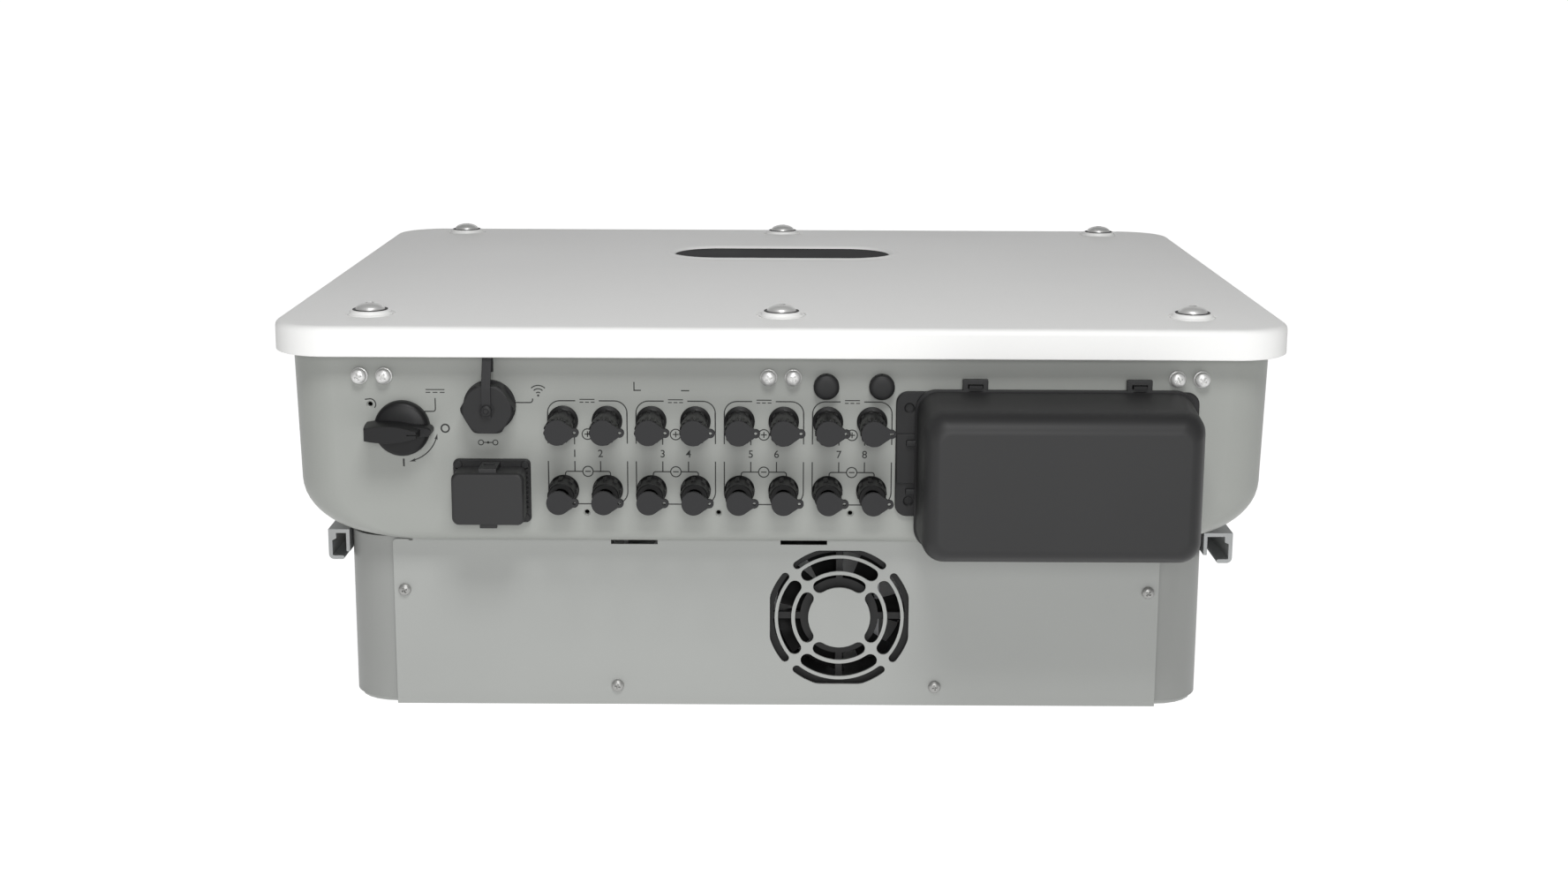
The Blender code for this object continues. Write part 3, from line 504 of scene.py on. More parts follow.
def make_front_cover():
    ceiling = COVER_EDGE - COVER_WALL
    rings = [cover_ring(60.0, ceiling + 1.0), cover_ring(30.0, ceiling), cover_ring(COVER_WALL, ceiling),
             cover_ring(COVER_WALL, COVER_LOW + 0.5), cover_ring(COVER_WALL - 0.5, COVER_LOW),
             cover_ring(0.7, COVER_LOW), cover_ring(0.2, COVER_LOW + 0.3), cover_ring(0.0, COVER_LOW + 0.9)]
    for angle in range(0, 91, 10):
        turn = math.radians(angle)
        rings.append(cover_ring(EDGE_ROUND * (1 - math.cos(turn)), COVER_EDGE - EDGE_ROUND * (1 - math.sin(turn))))
    for inset in (6, 8, 11, 15, 20, 27, 36, 48, 62, 78, 96, 116, 138, 160, 182, 204, 226):
        rings.append(cover_ring(inset, crown_height(inset - EDGE_ROUND), spread=max(inset * 0.62 - EDGE_ROUND, 0.1)))
    cover = loft("cover_shell", rings, placed())
    bosses = []
    holes = []
    shade_rings = []
    for name in cover_screws():
        x, y, _ = middle(name)
        place = placed(x, y)
        foot = crown_height(COVER_HALF_Y - abs(y) - EDGE_ROUND)
        boss = above(foot, (14.6, -2.0), (14.6, -0.35), (13.7, 0.1), (13.2, 0.7), (13.0, 1.6), (12.6, 2.2), (11.8, 2.45))
        groove = above(foot, (14.5, -0.8), (15.9, -0.8), (16.3, 3.0), (14.3, 3.0))
        # A dark rubber ring between each screw's dome and its boss: painted shade for the dark line under the dome.
        washer = above(foot, (9.6, 1.2), (11.3, 1.2), (11.3, 2.75), (9.6, 2.75))
        bosses.append(turned("boss", boss, place, BOSS_STEPS))
        holes.append(turned("hole", [(3.4, 250.0), (3.4, 266.0)], place, 24))
        holes.append(tube("groove", groove, place, BOSS_STEPS))
        shade_rings.append(tube("washer", washer, place, BOSS_STEPS))
    pocket = badge_shape("pocket", -GAP, [(0.0, 0.0), (0.0, 0.9), (0.3, 1.2), (1.2, 2.0), (2.4, 2.7), (4.0, 3.2),
                                          (6.0, 3.6)])
    lip = badge_shape("lip", -GAP, [(9.0, 0.0), (9.0, 1.6), (7.4, 2.3), (5.8, 2.9), (4.4, 3.1), (3.2, 3.0)])
    join(cover, bundle("bosses", bosses), lip)
    cut(cover, bundle("holes", holes), pocket)
    stand_in(cover, WHITE_PAINT, "front_cover", angle=50)
    # The dark rings under the screw domes are painted shade.
    stand_in(bundle("screw_washers", shade_rings), RUBBER, body="root", slot=SLOT_OF["cover_gasket"])
    badge = badge_shape("badge_insert", 0.0, [(0.0, 0.0), (0.0, 0.6), (-0.15, 0.8), (-0.4, 0.9)])
    stand_in(badge, BADGE_FACE, "cover_badge")


def make_cover_screws():
    for name in cover_screws():
        x, y, _ = middle(name)
        radius, dome, top = 9.4, 4.1, SCREW_TOP
        profile = [(2.9, 236.0), (2.9, top - 4.8), (9.1, top - 4.8), (radius, top - 4.6), (radius, top - dome)]
        for angle in (12, 24, 36, 48, 60, 72, 82):
            turn = math.radians(angle)
            profile.append((radius * math.cos(turn), top - dome + dome * math.sin(turn)))
        screw = turned(name + "_dome", profile, placed(x, y), BOSS_STEPS)
        cut(screw, prism("socket", [circle(0, 0, 2.9, 6, 15)], top - 2.4, top + 1.0, placed(x, y)))
        stand_in(screw, SCREW_METAL, name)


# ---------------------------------------------------------------- housing

SIDE_ROUND = (50.0, 38.0)
END_ROUND = 10.0
HOUSING_CORNER = 28.0
HOUSING_DRAFT = 0.027
HOUSING_WALL = 4.0
HOUSING_RIM = 14.0
HOLE_DEPTH = -6.0


def housing_ring(height, inset=0.0):
    """A ring of the cast wall, with the side's deep round and the ends' small one."""
    rise = height - HOUSING_LOW
    half_x = HOUSING_HALF_X - HOUSING_DRAFT * (HOUSING_TOP - height)
    side = max(1 - rise / SIDE_ROUND[1], 0.0)
    end = max(1 - rise / END_ROUND, 0.0)
    in_x = SIDE_ROUND[0] * (1 - math.sqrt(1 - side ** 2)) + inset
    in_y = END_ROUND * (1 - math.sqrt(1 - end ** 2)) + inset
    radius = max(HOUSING_CORNER + 0.4 * in_x - inset, 6.0)
    return level(in_x - half_x, half_x - in_x, in_y - HOUSING_HALF_Y, HOUSING_HALF_Y - in_y, radius, height, 14)


def make_housing():
    rises = [0.0, 0.15, 0.4, 0.8, 1.4, 2.2, 3.2, 4.4, 5.8, 7.4, 9.2, 11.4, 14.0, 17.0, 20.5, 24.5, 29.0, 33.5, 38.0]
    outer = [housing_ring(HOUSING_LOW + rise) for rise in rises] + [housing_ring(HOUSING_TOP)]
    inner = [housing_ring(HOUSING_TOP, HOUSING_RIM), housing_ring(HOUSING_TOP - 7.0, HOUSING_RIM),
             housing_ring(HOUSING_TOP - 12.0, HOUSING_WALL)]
    inner += [housing_ring(HOUSING_LOW + rise, HOUSING_WALL) for rise in (38.0, 17.0, 10.0)]
    housing = loft("housing_casting", outer + inner, placed())
    rounds = [(x, z, 7.6) for x in SOCKETS for z in (POSITIVE_Z, NEGATIVE_Z)]
    rounds += [(*SWITCH, 9.3), (*DONGLE, 11.2)]
    rounds += [(*on_panel(f"vent_valve_{n}"), 5.6) for n in (1, 2)]
    rounds += [(x + shift, z, 3.1) for x, z in (on_panel(f"case_screws_{side}") for side in SIDES)
               for shift in SCREW_PAIR]
    holes = [turned("hole", [(radius, HOLE_DEPTH), (radius, 1.0)], on_wall(x, z), 24) for x, z, radius in rounds]
    holes += [turned("hole", [(1.5, HOLE_DEPTH), (1.5, -0.9), (2.3, -0.2), (2.5, 1.0)], on_wall(x, z), 24)
              for x, z in (LOCK_HOLE, (-124.0, 135.0), (-39.7, 135.0), (44.6, 135.0))]
    openings = (((COM[0] - 15.3, COM[0] + 15.3), (COM[1] - 10.3, COM[1] + 10.3)), ((113.0, 233.0), (150.0, 186.0)))
    holes += [box("hole", x, z, (HOLE_DEPTH, 1.0), on_wall()) for x, z in openings]
    cut(housing, bundle("holes", holes))
    stand_in(housing, HOUSING_PAINT, "housing", angle=30)


# ---------------------------------------------------------------- printed marks

INK_HEIGHT = 0.07


def printed(*outlines):
    return prism("mark", outlines, 0.0, INK_HEIGHT, on_wall())


def stroke(points, width=0.72):
    return printed(thick_path(points, width))


def ring_mark(x, z, radius, width=0.7):
    return printed(circle(x, z, radius + width / 2, 40), circle(x, z, radius - width / 2, 40))


def digit(text, x, z, height):
    """A number, centred on its place."""
    curve = bpy.data.curves.new("number", "FONT")
    curve.body = text
    curve.size = height * 1.38 * MM
    curve.align_x = "CENTER"
    curve.extrude = INK_HEIGHT / 2 * MM
    curve.offset = 0.05 * MM
    guide = add_object("number", curve)
    mesh = evaluated_mesh(guide)
    bpy.data.objects.remove(guide)
    return add_object("mark", mesh, on_wall(x, z - height / 2, PANEL_Y - INK_HEIGHT / 2))


def direct_current(x, z, width):
    """The usual sign for direct current: a bar over three dashes."""
    line, rise = 0.6, 0.9
    marks = [stroke([(x - width / 2, z + rise), (x + width / 2, z + rise)], line)]
    dash = width / 4
    for shift in (-1, 0, 1):
        middle_x = x + shift * (width - dash) / 2
        marks.append(stroke([(middle_x - dash / 2, z - rise), (middle_x + dash / 2, z - rise)], line))
    return marks


def group_marks(x, z_top, z_low, number):
    """The frame round two string pairs, its signs, leader lines and numbers."""
    left, right, corner = x - 25.2, x + 25.3, 8.0
    upper, lower = 180.0, 168.5
    bar = 161.8
    first, second = x - 8.3, x + 8.1
    marks = [
        stroke([(left, upper), (left, z_top - corner), *arc((left + corner, z_top - corner), corner, 180, 90, 8),
                (x - 7.5, z_top)]),
        stroke([(right, upper), (right, z_top - corner), *arc((right - corner, z_top - corner), corner, 0, 90, 8),
                (x + 7.5, z_top)]),
        stroke([(left, lower), (left, z_low + corner), *arc((left + corner, z_low + corner), corner, 180, 270, 8),
                *arc((right - corner, z_low + corner), corner, 270, 360, 8), (right, lower)]),
        ring_mark(x, 186.1, 3.4), stroke([(x - 1.9, 186.1), (x + 1.9, 186.1)]), stroke([(x, 184.2), (x, 188.0)]),
        ring_mark(x, bar, 3.3), stroke([(x - 1.8, bar), (x + 1.8, bar)]),
        *(stroke([(at, high), (at, low)]) for high, low in ((184.8, 179.4), (lower, bar)) for at in (first, second)),
        stroke([(x - 3.6, bar), *arc((x - 12.9, bar - 1.5), 1.5, 90, 180, 4), (x - 14.4, bar - 4.0)]),
        stroke([(x + 3.6, bar), *arc((x + 12.9, bar - 1.5), 1.5, 90, 0, 4), (x + 14.4, bar - 4.0)]),
        digit(str(2 * number - 1), first, 173.7, 5.0), digit(str(2 * number), second, 173.7, 5.0)]
    return marks + direct_current(x, z_top, 9.5)


def arrow_head(x, z, angle):
    """A slim head that points along an angle in degrees."""
    turn = math.radians(angle)
    outline = []
    for along, aside in ((2.4, 0.0), (-1.6, 1.1), (-0.9, 0.0), (-1.6, -1.1)):
        outline.append((x + along * math.cos(turn) - aside * math.sin(turn),
                        z + along * math.sin(turn) + aside * math.cos(turn)))
    return printed(outline)


def make_marks():
    marks = []
    for number in range(1, 5):
        centre = (SOCKETS[2 * number - 2] + SOCKETS[2 * number - 1]) / 2
        marks += group_marks(centre + 1.4, 207.7, 140.5, number)
    x, z = SWITCH
    marks += [stroke([(-219.4, 209.0), *arc((-220.9, 201.9), 1.5, 0, -90, 4), (x + 8.0, 200.4)]),
              stroke(arc((x, z), 22.3, -19, -72, 16)),
              arrow_head(x + 21.3, z - 6.4, 76), arrow_head(x + 6.0, z - 21.6, 196),
              stroke([(LOCK_HOLE[0] - 3.2, LOCK_HOLE[1] + 3.2), *arc(LOCK_HOLE, 3.6, 84, -40, 10)], 0.7)]
    marks += direct_current(x + 21.2, 213.6, 12.0)
    marks += [ring_mark(x + 27.0, z - 0.5, 2.5, 1.0), stroke([(x, z - 25.4), (x, z - 20.4)], 1.1)]
    marks.append(stroke([(DONGLE[0] + 13.9, 206.4), *arc((-159.2, 208.0), 1.6, -90, 0, 4), (-157.6, 209.0)]))
    for radius in (1.8, 4.0, 6.2):
        marks.append(stroke(arc((-154.0, 211.3), radius, 45, 135, 10), 0.7))
    marks.append(printed(circle(-154.0, 211.0, 0.7, 16)))
    for shift in (-4.6, 4.6):
        marks.append(ring_mark(-186.4 + shift, 180.4, 1.6, 0.6))
    marks += [stroke([(-189.4, 180.4), (-183.4, 180.4)], 0.6), ring_mark(-186.4, 180.4, 0.5, 0.6),
              stroke([(-93.2, 220.0), (-93.2, 214.2)]), stroke([(-93.2, 214.6), (-88.8, 214.6)]),
              stroke([(-63.4, 214.5), (-58.2, 214.5)])]
    marks = bundle("panel_marks", marks)
    stand_in(marks, INK, body="root", slot=SLOT_OF["com_port"])


# ---------------------------------------------------------------- cooling duct

SHROUD_CORNER = 28.0
GUARD_LIMIT = 45.5


def make_shrouds():
    for side, sign in (("left", -1), ("right", 1)):
        node = f"duct_shroud_{side}"
        corner = SHROUD_CORNER
        x = DUCT_HALF_X - corner
        near = arc((x, corner - DUCT_HALF_Y), corner, -90, 0, 24)
        far = arc((x, DUCT_HALF_Y - corner), corner, 0, 90, 24)
        path = [(x - 16.0, -DUCT_HALF_Y), *near, *far, (x - 16.0, DUCT_HALF_Y)]
        middle_line = [(sign * (a - SHEET / 2), b * (1 - SHEET / 2 / DUCT_HALF_Y)) for a, b in path]
        shroud = prism(node + "_sheet", [thick_path(middle_line, SHEET)], SHROUD_LOW, DUCT_TOP, placed(DUCT_X))
        soften(shroud, 0.25)
        cut(shroud, turned("hole", [(2.0, -4.0), (2.0, 4.0)], on_wall(DUCT_X + sign * 243.0, 78.0, -DUCT_HALF_Y), 24))
        # The shroud takes the darker copy of the duct paint, which is painted shade.
        stand_in(shroud, SHADED_DUCT_PAINT, node)


def ring_slot(inner, outer, middle_angle, half_angle):
    """A slot along an arc, with round ends."""
    mean = (inner + outer) / 2
    cap = (outer - inner) / 2
    first, last = middle_angle - half_angle, middle_angle + half_angle
    start, end = (arc((0, 0), mean, angle, angle + 1, 1)[0] for angle in (first, last))
    points = arc((0, 0), outer, first, last, 24)
    points += arc(end, cap, last, last + 180, 8)[1:-1]
    points += arc((0, 0), inner, last, first, 24)
    points += arc(start, cap, first + 180, first + 360, 8)[1:-1]
    return points


def guard_slots():
    """Three rings of slots in four sectors. The outer ring is cut off square by the fan's frame."""
    slots = []
    for middle_angle in (0, 90, 180, 270):
        slots.append(ring_slot(20.3, 29.0, middle_angle, 31.5))
        slots.append(ring_slot(31.4, 40.2, middle_angle, 35.5))
        outer = ring_slot(42.3, 47.7, middle_angle, 38.0)
        slots.append([tuple(max(-GUARD_LIMIT, min(GUARD_LIMIT, value)) for value in point) for point in outer])
    return slots


def make_fan_plate():
    half = (PLATE[0][1] - PLATE[0][0]) / 2
    top = PLATE[2][1]
    shoulder = 112.0
    outline = [(-half, 0.0), (half, 0.0), *arc((half - 2.5, shoulder - 2.5), 2.5, 0, 90, 8),
               (half - 13.0, shoulder), (half - 13.0, top)]
    for centre in (15.2 - DUCT_X, -95.2 - DUCT_X):
        outline += [(centre + 15.2, top), (centre + 15.2, 109.2), (centre - 15.2, 109.2), (centre - 15.2, top)]
    outline += [(13.0 - half, top), (13.0 - half, 111.2), (10.3 - half, 111.2), (10.3 - half, shoulder),
                *arc((2.5 - half, shoulder - 2.5), 2.5, 90, 180, 8)]
    screws = [on_panel(f"fan_plate_screw_{n}") for n in range(1, 5)]
    slots = [[(x + FAN_X - DUCT_X, z + FAN_Z) for x, z in slot] for slot in guard_slots()]
    holes = [circle(x - DUCT_X, z, 2.0, 24) for x, z in screws]
    plate = prism("fan_plate_sheet", [outline, *slots, *holes], 0.0, SHEET, on_wall(DUCT_X, 0.0, PLATE_Y))
    stand_in(soften(plate, 0.22), DUCT_PAINT, "fan_plate")
    for number, (x, z) in enumerate(screws, 1):
        place = on_wall(x, z, PLATE_Y)
        profile = [(1.5, -5.0), (1.5, 1.8), (4.0, 1.8), (4.1, 2.0), (4.0, 2.7), (3.6, 3.4), (2.7, 4.0), (1.4, 4.3)]
        screw = turned(f"fan_plate_screw_{number}_pan", profile, place, 40)
        cut(screw, *cross_recess(place, 1.9, 0.55, 2.6, 5.0, 25 * number))
        stand_in(screw, SHEET_SCREW, f"fan_plate_screw_{number}")


def cross_recess(place, reach, half_width, low, high, turn=0.0):
    """Cutters for a cross-shaped driver recess."""
    turned_place = place @ Matrix.Rotation(math.radians(turn), 4, "Z")
    return (box("arm", (-reach, reach), (-half_width, half_width), (low, high), turned_place),
            box("arm", (-half_width, half_width), (-reach, reach), (low, high), turned_place))


def make_outlet_grille():
    low_x, high_x = (value - DUCT_X for value in span("outlet_grille")[0])
    half = (high_x - low_x) / 2
    slots = []
    for column in range(-17, 18):
        for low, high in ((20.0, 52.0), (60.0, 92.0)):
            slots.append([(column * 13.6 + x, z) for x, z in rectangle(-4.2, 4.2, low, high, 4.19, 6)])
    outline = rectangle(-half, half, 0.0, span("outlet_grille")[2][1], 1.0)
    place = on_wall(DUCT_X, 0.0, span("outlet_grille")[1][1])
    grille = prism("outlet_grille_sheet", [outline, *slots], 0.0, SHEET, place)
    stand_in(soften(grille, 0.22), DUCT_PAINT, "outlet_grille")


def sector(inner, outer, middle_angle, half_width):
    """A quarter of the open ring between two struts."""
    trims = [math.degrees(math.asin(half_width / radius)) for radius in (outer, inner)]
    points = arc((0, 0), outer, middle_angle - 45 + trims[0], middle_angle + 45 - trims[0], 20)
    return points + arc((0, 0), inner, middle_angle + 45 - trims[1], middle_angle - 45 + trims[1], 20)


def blade(angle):
    """A twisted, cambered blade, from inside the hub to the tip."""
    rings = []
    for step in range(7):
        share = step / 6
        radius = 20.0 + share * (ROTOR_RADIUS - 20.7)
        chord = 26.0 + 6.0 * share
        turn = math.radians(56.0 - 21.0 * share)
        ring = []
        for i in range(20):
            around = 2 * math.pi * i / 20
            along = math.cos(around) * chord / 2
            thick = math.sin(around) * 0.9 - 2.4 * (1 - (2 * along / chord) ** 2)
            swing = along * math.cos(turn) - thick * math.sin(turn)
            height = along * math.sin(turn) + thick * math.cos(turn)
            place = math.radians(angle) + swing / radius
            ring.append((radius * math.cos(place), radius * math.sin(place), height - 19.0))
        rings.append(ring)
    return loft("blade", rings, on_wall(FAN_X, FAN_Z, FAN_Y))


def make_fan():
    place = on_wall(FAN_X, FAN_Z, FAN_Y)
    half = FAN_SIZE / 2
    depth = span("fan_frame")[1][1] - span("fan_frame")[1][0]
    body = prism("fan_housing", [rectangle(-half, half, -half, half, 4.0)], -depth, 0.0, place)
    bore = turned("bore", [(ROTOR_RADIUS + 1.5, -depth - 1.0), (ROTOR_RADIUS + 1.5, -3.4)], place, 72)
    windows = [prism("window", [sector(25.6, ROTOR_RADIUS + 0.8, 45 + 90 * i, 2.2)], -depth - 1.0, 1.0, place)
               for i in range(4)]
    windows += [turned("corner", [(2.2, -depth - 1.0), (2.2, 1.0)], on_wall(FAN_X + x, FAN_Z + z, FAN_Y), 24)
                for x in (-41.3, 41.3) for z in (-41.3, 41.3)]
    cut(body, bore, bundle("windows", windows))
    stand_in(soften(body, 0.3), FAN_PLASTIC, "fan_frame")
    rotor = turned("fan_wheel", [(20.6, -34.0), (21.5, -33.2), (21.5, -5.0), (21.2, -4.4), (20.5, -4.1),
                                 (19.6, -4.0)], place, 64)
    join(rotor, bundle("blades", [blade(i * 360 / 7) for i in range(7)]))
    stand_in(rotor, FAN_PLASTIC, "fan_rotor", angle=30)


def make_rails():
    for side, sign in (("left", -1), ("right", 1)):
        node = f"mounting_rail_{side}"
        low_x, high_x = span(node)[0]
        inner, outer = (sign * low_x, sign * high_x) if sign > 0 else (-high_x, -low_x)
        section = [(inner, 114.0), (outer, 114.0), (outer, 97.1), *arc((outer - 3.5, 97.1), 3.5, 0, -90, 5),
                   (outer - 9.0, 93.6), *arc((outer - 9.0, 94.9), 1.3, -90, -270, 5), (outer - 2.8, 96.2),
                   (outer - 2.6, 96.6), (outer - 2.6, 106.5), (outer - 5.2, 107.7), (outer - 5.2, 111.4),
                   (inner + 2.4, 111.4), (inner + 2.4, 99.0), (inner, 99.0)]
        y0, y1 = span(node)[1]
        rail = prism(node + "_section", [[(sign * x, z) for x, z in section]], -y1, -y0, on_wall(0.0, 0.0, 0.0))
        stand_in(soften(rail, 0.2), RAIL_METAL, node)


# ---------------------------------------------------------------- connector panel

def ribbed(radius, depth, count, steps, duty=0.5):
    """A circle whose edge steps in and out, with flat-topped ribs."""
    points = []
    for i in range(count):
        start = 360 / count * i
        points += arc((0, 0), radius, start, start + 360 / count * duty, steps)
        points += arc((0, 0), radius - depth, start + 360 / count * (duty + 0.1), start + 360 / count * 0.9, steps)
    return points


def make_sockets():
    """The socket bodies: a flange on a seal, a barrel with two latch windows, and the strip inside."""
    shapes = {"positive": (POSITIVE_Z, 7.3, 19.0), "negative": (NEGATIVE_Z, 8.6, 22.0)}
    for kind, (z, barrel, reach) in shapes.items():
        bodies = []
        for x in SOCKETS:
            place = on_wall(x, z)
            body = turned("body", [(6.6, -8.0), (6.6, GAP), (9.3, GAP), (9.7, 0.7), (9.7, 1.9), (9.3, 2.3),
                                   (barrel + 0.9, 2.4), (barrel, 3.2), (barrel, reach - 0.6), (barrel - 0.6, reach)],
                          place, 48)
            cut(body, turned("bore", [(5.5, 6.0), (5.5, reach + 1.0)], place, 32),
                box("window", (-barrel - 1.0, barrel + 1.0), (-2.0, 2.0), (reach - 8.0, reach - 3.0), place))
            bodies.append(body)
            bodies.append(prism("lugs", [ribbed(barrel + 0.85, 1.3, 8, 3, 0.34), circle(0, 0, 5.6, 32)],
                                4.2, reach - 9.5, place))
        bodies.append(box("strip", (SOCKETS[0] - 9, SOCKETS[-1] + 9), (z - 8, z + 8), (-10.0, -6.0), on_wall()))
        joined = bundle(f"{kind}_socket_row", bodies)
        # The socket row takes the darker plastic, which is painted shade on the barrels.
        stand_in(joined, SHADED_SOCKET_PLASTIC, f"{kind}_sockets")


def ear_outline(reach, disc):
    """The disc of a dust cap with its ear, whose sides flow into the disc."""
    ear = arc((reach, 0.0), 2.8, -105, 105, 14)
    root = arc((0, 0), disc, 48, 312, 40)
    return root + ear


def make_dust_caps():
    shapes = {"positive": (POSITIVE_Z, 10.7, 8.0, 40.0), "negative": (NEGATIVE_Z, 9.9, 7.5, 38.5)}
    for kind, (z, reach, disc, top) in shapes.items():
        place = on_wall(SOCKETS[0], z)
        plate = prism("cap", [ear_outline(reach, disc), circle(reach, 0.0, 1.0, 16)], top - 2.6, top, place)
        soften(plate, 0.35, 3)
        if kind == "positive":
            body = turned("stem", [(4.7, 8.0), (4.9, 8.3), (4.9, 21.0), (8.0, 21.0), (8.3, 21.4), (8.3, 30.0),
                                   (8.0, 31.0), (8.0, top - 2.8), (7.0, top - 1.4)], place, 48)
            teeth = prism("teeth", [ribbed(8.7, 1.1, 14, 3, 0.5)], 29.0, top - 2.9, place)
            soften(teeth, 0.3, 2)
            join(body, teeth)
        else:
            body = turned("stem", [(3.6, 8.0), (3.8, 8.3), (3.8, top - 4.4), (4.3, top - 3.6), (6.6, top - 2.4),
                                   (6.9, top - 1.4)], place, 48)
        join(plate, body)
        smooth(plate)
        for number, x in enumerate(SOCKETS, 1):
            cap = add_object(f"{kind}_cap_{number}", plate.data.copy(), on_wall(x, z))
            stand_in(cap, RUBBER, f"dust_cap_{kind}_{number}")
            # Faces below the cap's disc get the darker plastic: painted shade on the stem under the disc.
            cap.data.materials.append(SHADED_SOCKET_PLASTIC)
            for face in cap.data.polygons:
                face.material_index = int(face.center.z < (top - 2.7) * MM)
        bpy.data.objects.remove(plate)


def make_case_screws():
    for side in SIDES:
        node = f"case_screws_{side}"
        x, z = on_panel(node)
        pieces = [box("strip", (x - 14, x + 14), (z - 5, z + 5), (-7.5, -4.5), on_wall())]
        for number, shift in enumerate(SCREW_PAIR):
            place = on_wall(x + shift, z)
            profile = [(2.5, -6.0), (2.5, GAP), (5.2, GAP), (5.4, 0.5), (5.4, 1.2), (5.2, 1.4), (4.7, 1.5),
                       (4.8, 1.8), (4.8, 3.6), (4.6, 4.6), (4.0, 5.4), (3.0, 5.9), (1.6, 6.15)]
            head = turned("head", profile, place, 48)
            cut(head, *cross_recess(place, 2.4, 0.6, 4.4, 7.0, 20 + 35 * number))
            pieces.append(head)
        stand_in(bundle(node + "_heads", pieces), SCREW_METAL, node)


def make_vents():
    for number in (1, 2):
        node = f"vent_valve_{number}"
        place = on_wall(*on_panel(node))
        valve = turned(node + "_body", [(4.8, -7.0), (4.8, GAP), (7.9, GAP), (8.1, 0.6), (8.1, 5.0), (7.8, 6.0),
                                        (6.9, 6.8), (5.2, 7.15), (2.0, 7.2)], place, 64)
        grips = []
        for i in range(12):
            spoke = place @ Matrix.Rotation(2 * math.pi * i / 12, 4, "Z")
            grips.append(box("grip", (7.6, 9.0), (-0.7, 0.7), (1.6, 5.0), spoke))
        cut(valve, bundle("grips", grips))
        stand_in(valve, PLASTIC, node)


def make_switch():
    """The knob: a round skirt, a lens-shaped grip that leans in towards its top, and a pointer nose."""
    place = on_wall(*SWITCH)
    knob = turned("switch_knob", [(3.0, -0.6), (3.0, 0.5), (17.4, 0.5), (17.8, 0.9), (17.8, 3.2), (17.5, 5.2),
                                  (16.6, 6.6), (15.0, 7.5), (10.0, 8.1), (4.0, 8.2)], place, 72)
    side = flowing([(-20.6, 4.0), (-14.0, 5.0), (-8.0, 5.4), (-2.0, 5.2), (4.0, 4.3), (9.0, 3.1), (13.0, 2.0)], 4)
    left_end = arc((-19.8, 3.2), 0.9, 100, 180, 3) + arc((-19.8, -3.2), 0.9, 180, 260, 3)
    plan = [(x, -z) for x, z in side] + side[::-1] + left_end
    grip = loft("grip", [raised([(x * grow, z * grow * 1.02) for x, z in plan], height) for grow, height in
                         ((1.06, 4.0), (1.05, 12.0), (1.02, 20.0), (1.0, 23.6), (0.985, 24.8), (0.95, 25.5))], place)
    tip = [(8.0, -3.8), (17.6, -3.2), (19.4, -2.4), (20.4, -1.0), (20.4, 1.0), (19.4, 2.4), (17.6, 3.2), (8.0, 3.8)]
    nose = loft("nose", [raised([(x, z * grow) for x, z in tip], height)
                         for grow, height in ((1.0, 4.0), (1.0, 14.0), (0.9, 15.4), (0.7, 16.0))], place)
    join(knob, grip, nose)
    cut(knob, box("slit", (6.5, 14.5), (-0.35, 0.35), (24.4, 27.0), place))
    stand_in(knob, KNOB_PLASTIC, "dc_switch_knob", angle=35)


STRAP_THICK = 1.5
STRAP_WIDTH = 5.8


def make_dongle():
    x, z = DONGLE
    place = on_wall(x, z)
    port = tube("data_port", [(7.0, -12.0), (10.1, -12.0), (10.1, GAP), (16.2, GAP), (16.6, 0.7), (16.6, 2.6),
                              (16.2, 3.0), (10.2, 3.0), (10.2, 12.0), (7.0, 12.0)], place, 64)
    stand_in(port, PLASTIC, "dongle_port")
    cap = turned("data_cap", [(16.4, 3.4), (16.8, 3.9), (16.8, 15.0), (16.3, 15.9), (15.5, 16.5), (14.6, 16.8)],
                 place, 96)
    combine(cap, "INTERSECT", [turned("flats", [(17.3, 2.0), (17.3, 18.0)], place, 6)])
    hollow = turned("hollow", [(10.6, 2.0), (10.6, 12.4)], place, 48)
    well = tube("well", [(5.0, 16.3), (5.0, 18.0), (4.3, 18.0), (4.3, 16.3)], place, 48)
    pin_hole = turned("pin_hole", [(2.2, 14.4), (2.2, 18.0)], place, 32)
    cut(cap, hollow, well, pin_hole)
    stand_in(soften(cap, 0.25), PLASTIC, "dongle_cap", angle=30)
    pin = turned("data_pin", [(1.7, 14.7), (1.7, 19.1), (3.5, 19.1), (3.7, 19.4), (3.7, 19.9), (3.4, 20.4),
                              (2.6, 20.7), (1.9, 20.8), (1.5, 20.3), (0.8, 20.2)], place, 40)
    stand_in(pin, PLASTIC, "dongle_cap_pin")
    route = [(18.1, -5.0), (18.1, 0.0), (18.1, 8.0), (18.1, 14.0), (17.0, 18.0), (14.6, 23.0), (11.6, 29.0),
             (9.6, 35.0), (8.2, 38.4), (6.2, 39.6), (4.2, 38.2), (3.4, 35.0), (3.0, 29.0), (2.8, 22.0)]
    line = flowing([(PANEL_Y - reach, z + rise) for reach, rise in route], 4)
    strap = prism("cap_strap", [thick_path(line, STRAP_THICK)], -STRAP_WIDTH / 2, STRAP_WIDTH / 2, across(x))
    cut(strap, turned("strap_hole", [(2.2, 16.6), (2.2, 20.0)], place, 24))
    soften(strap, 0.3)
    smooth(strap)
    strap.data.materials.append(RUBBER)
    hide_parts("dongle_strap")
    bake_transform(strap)


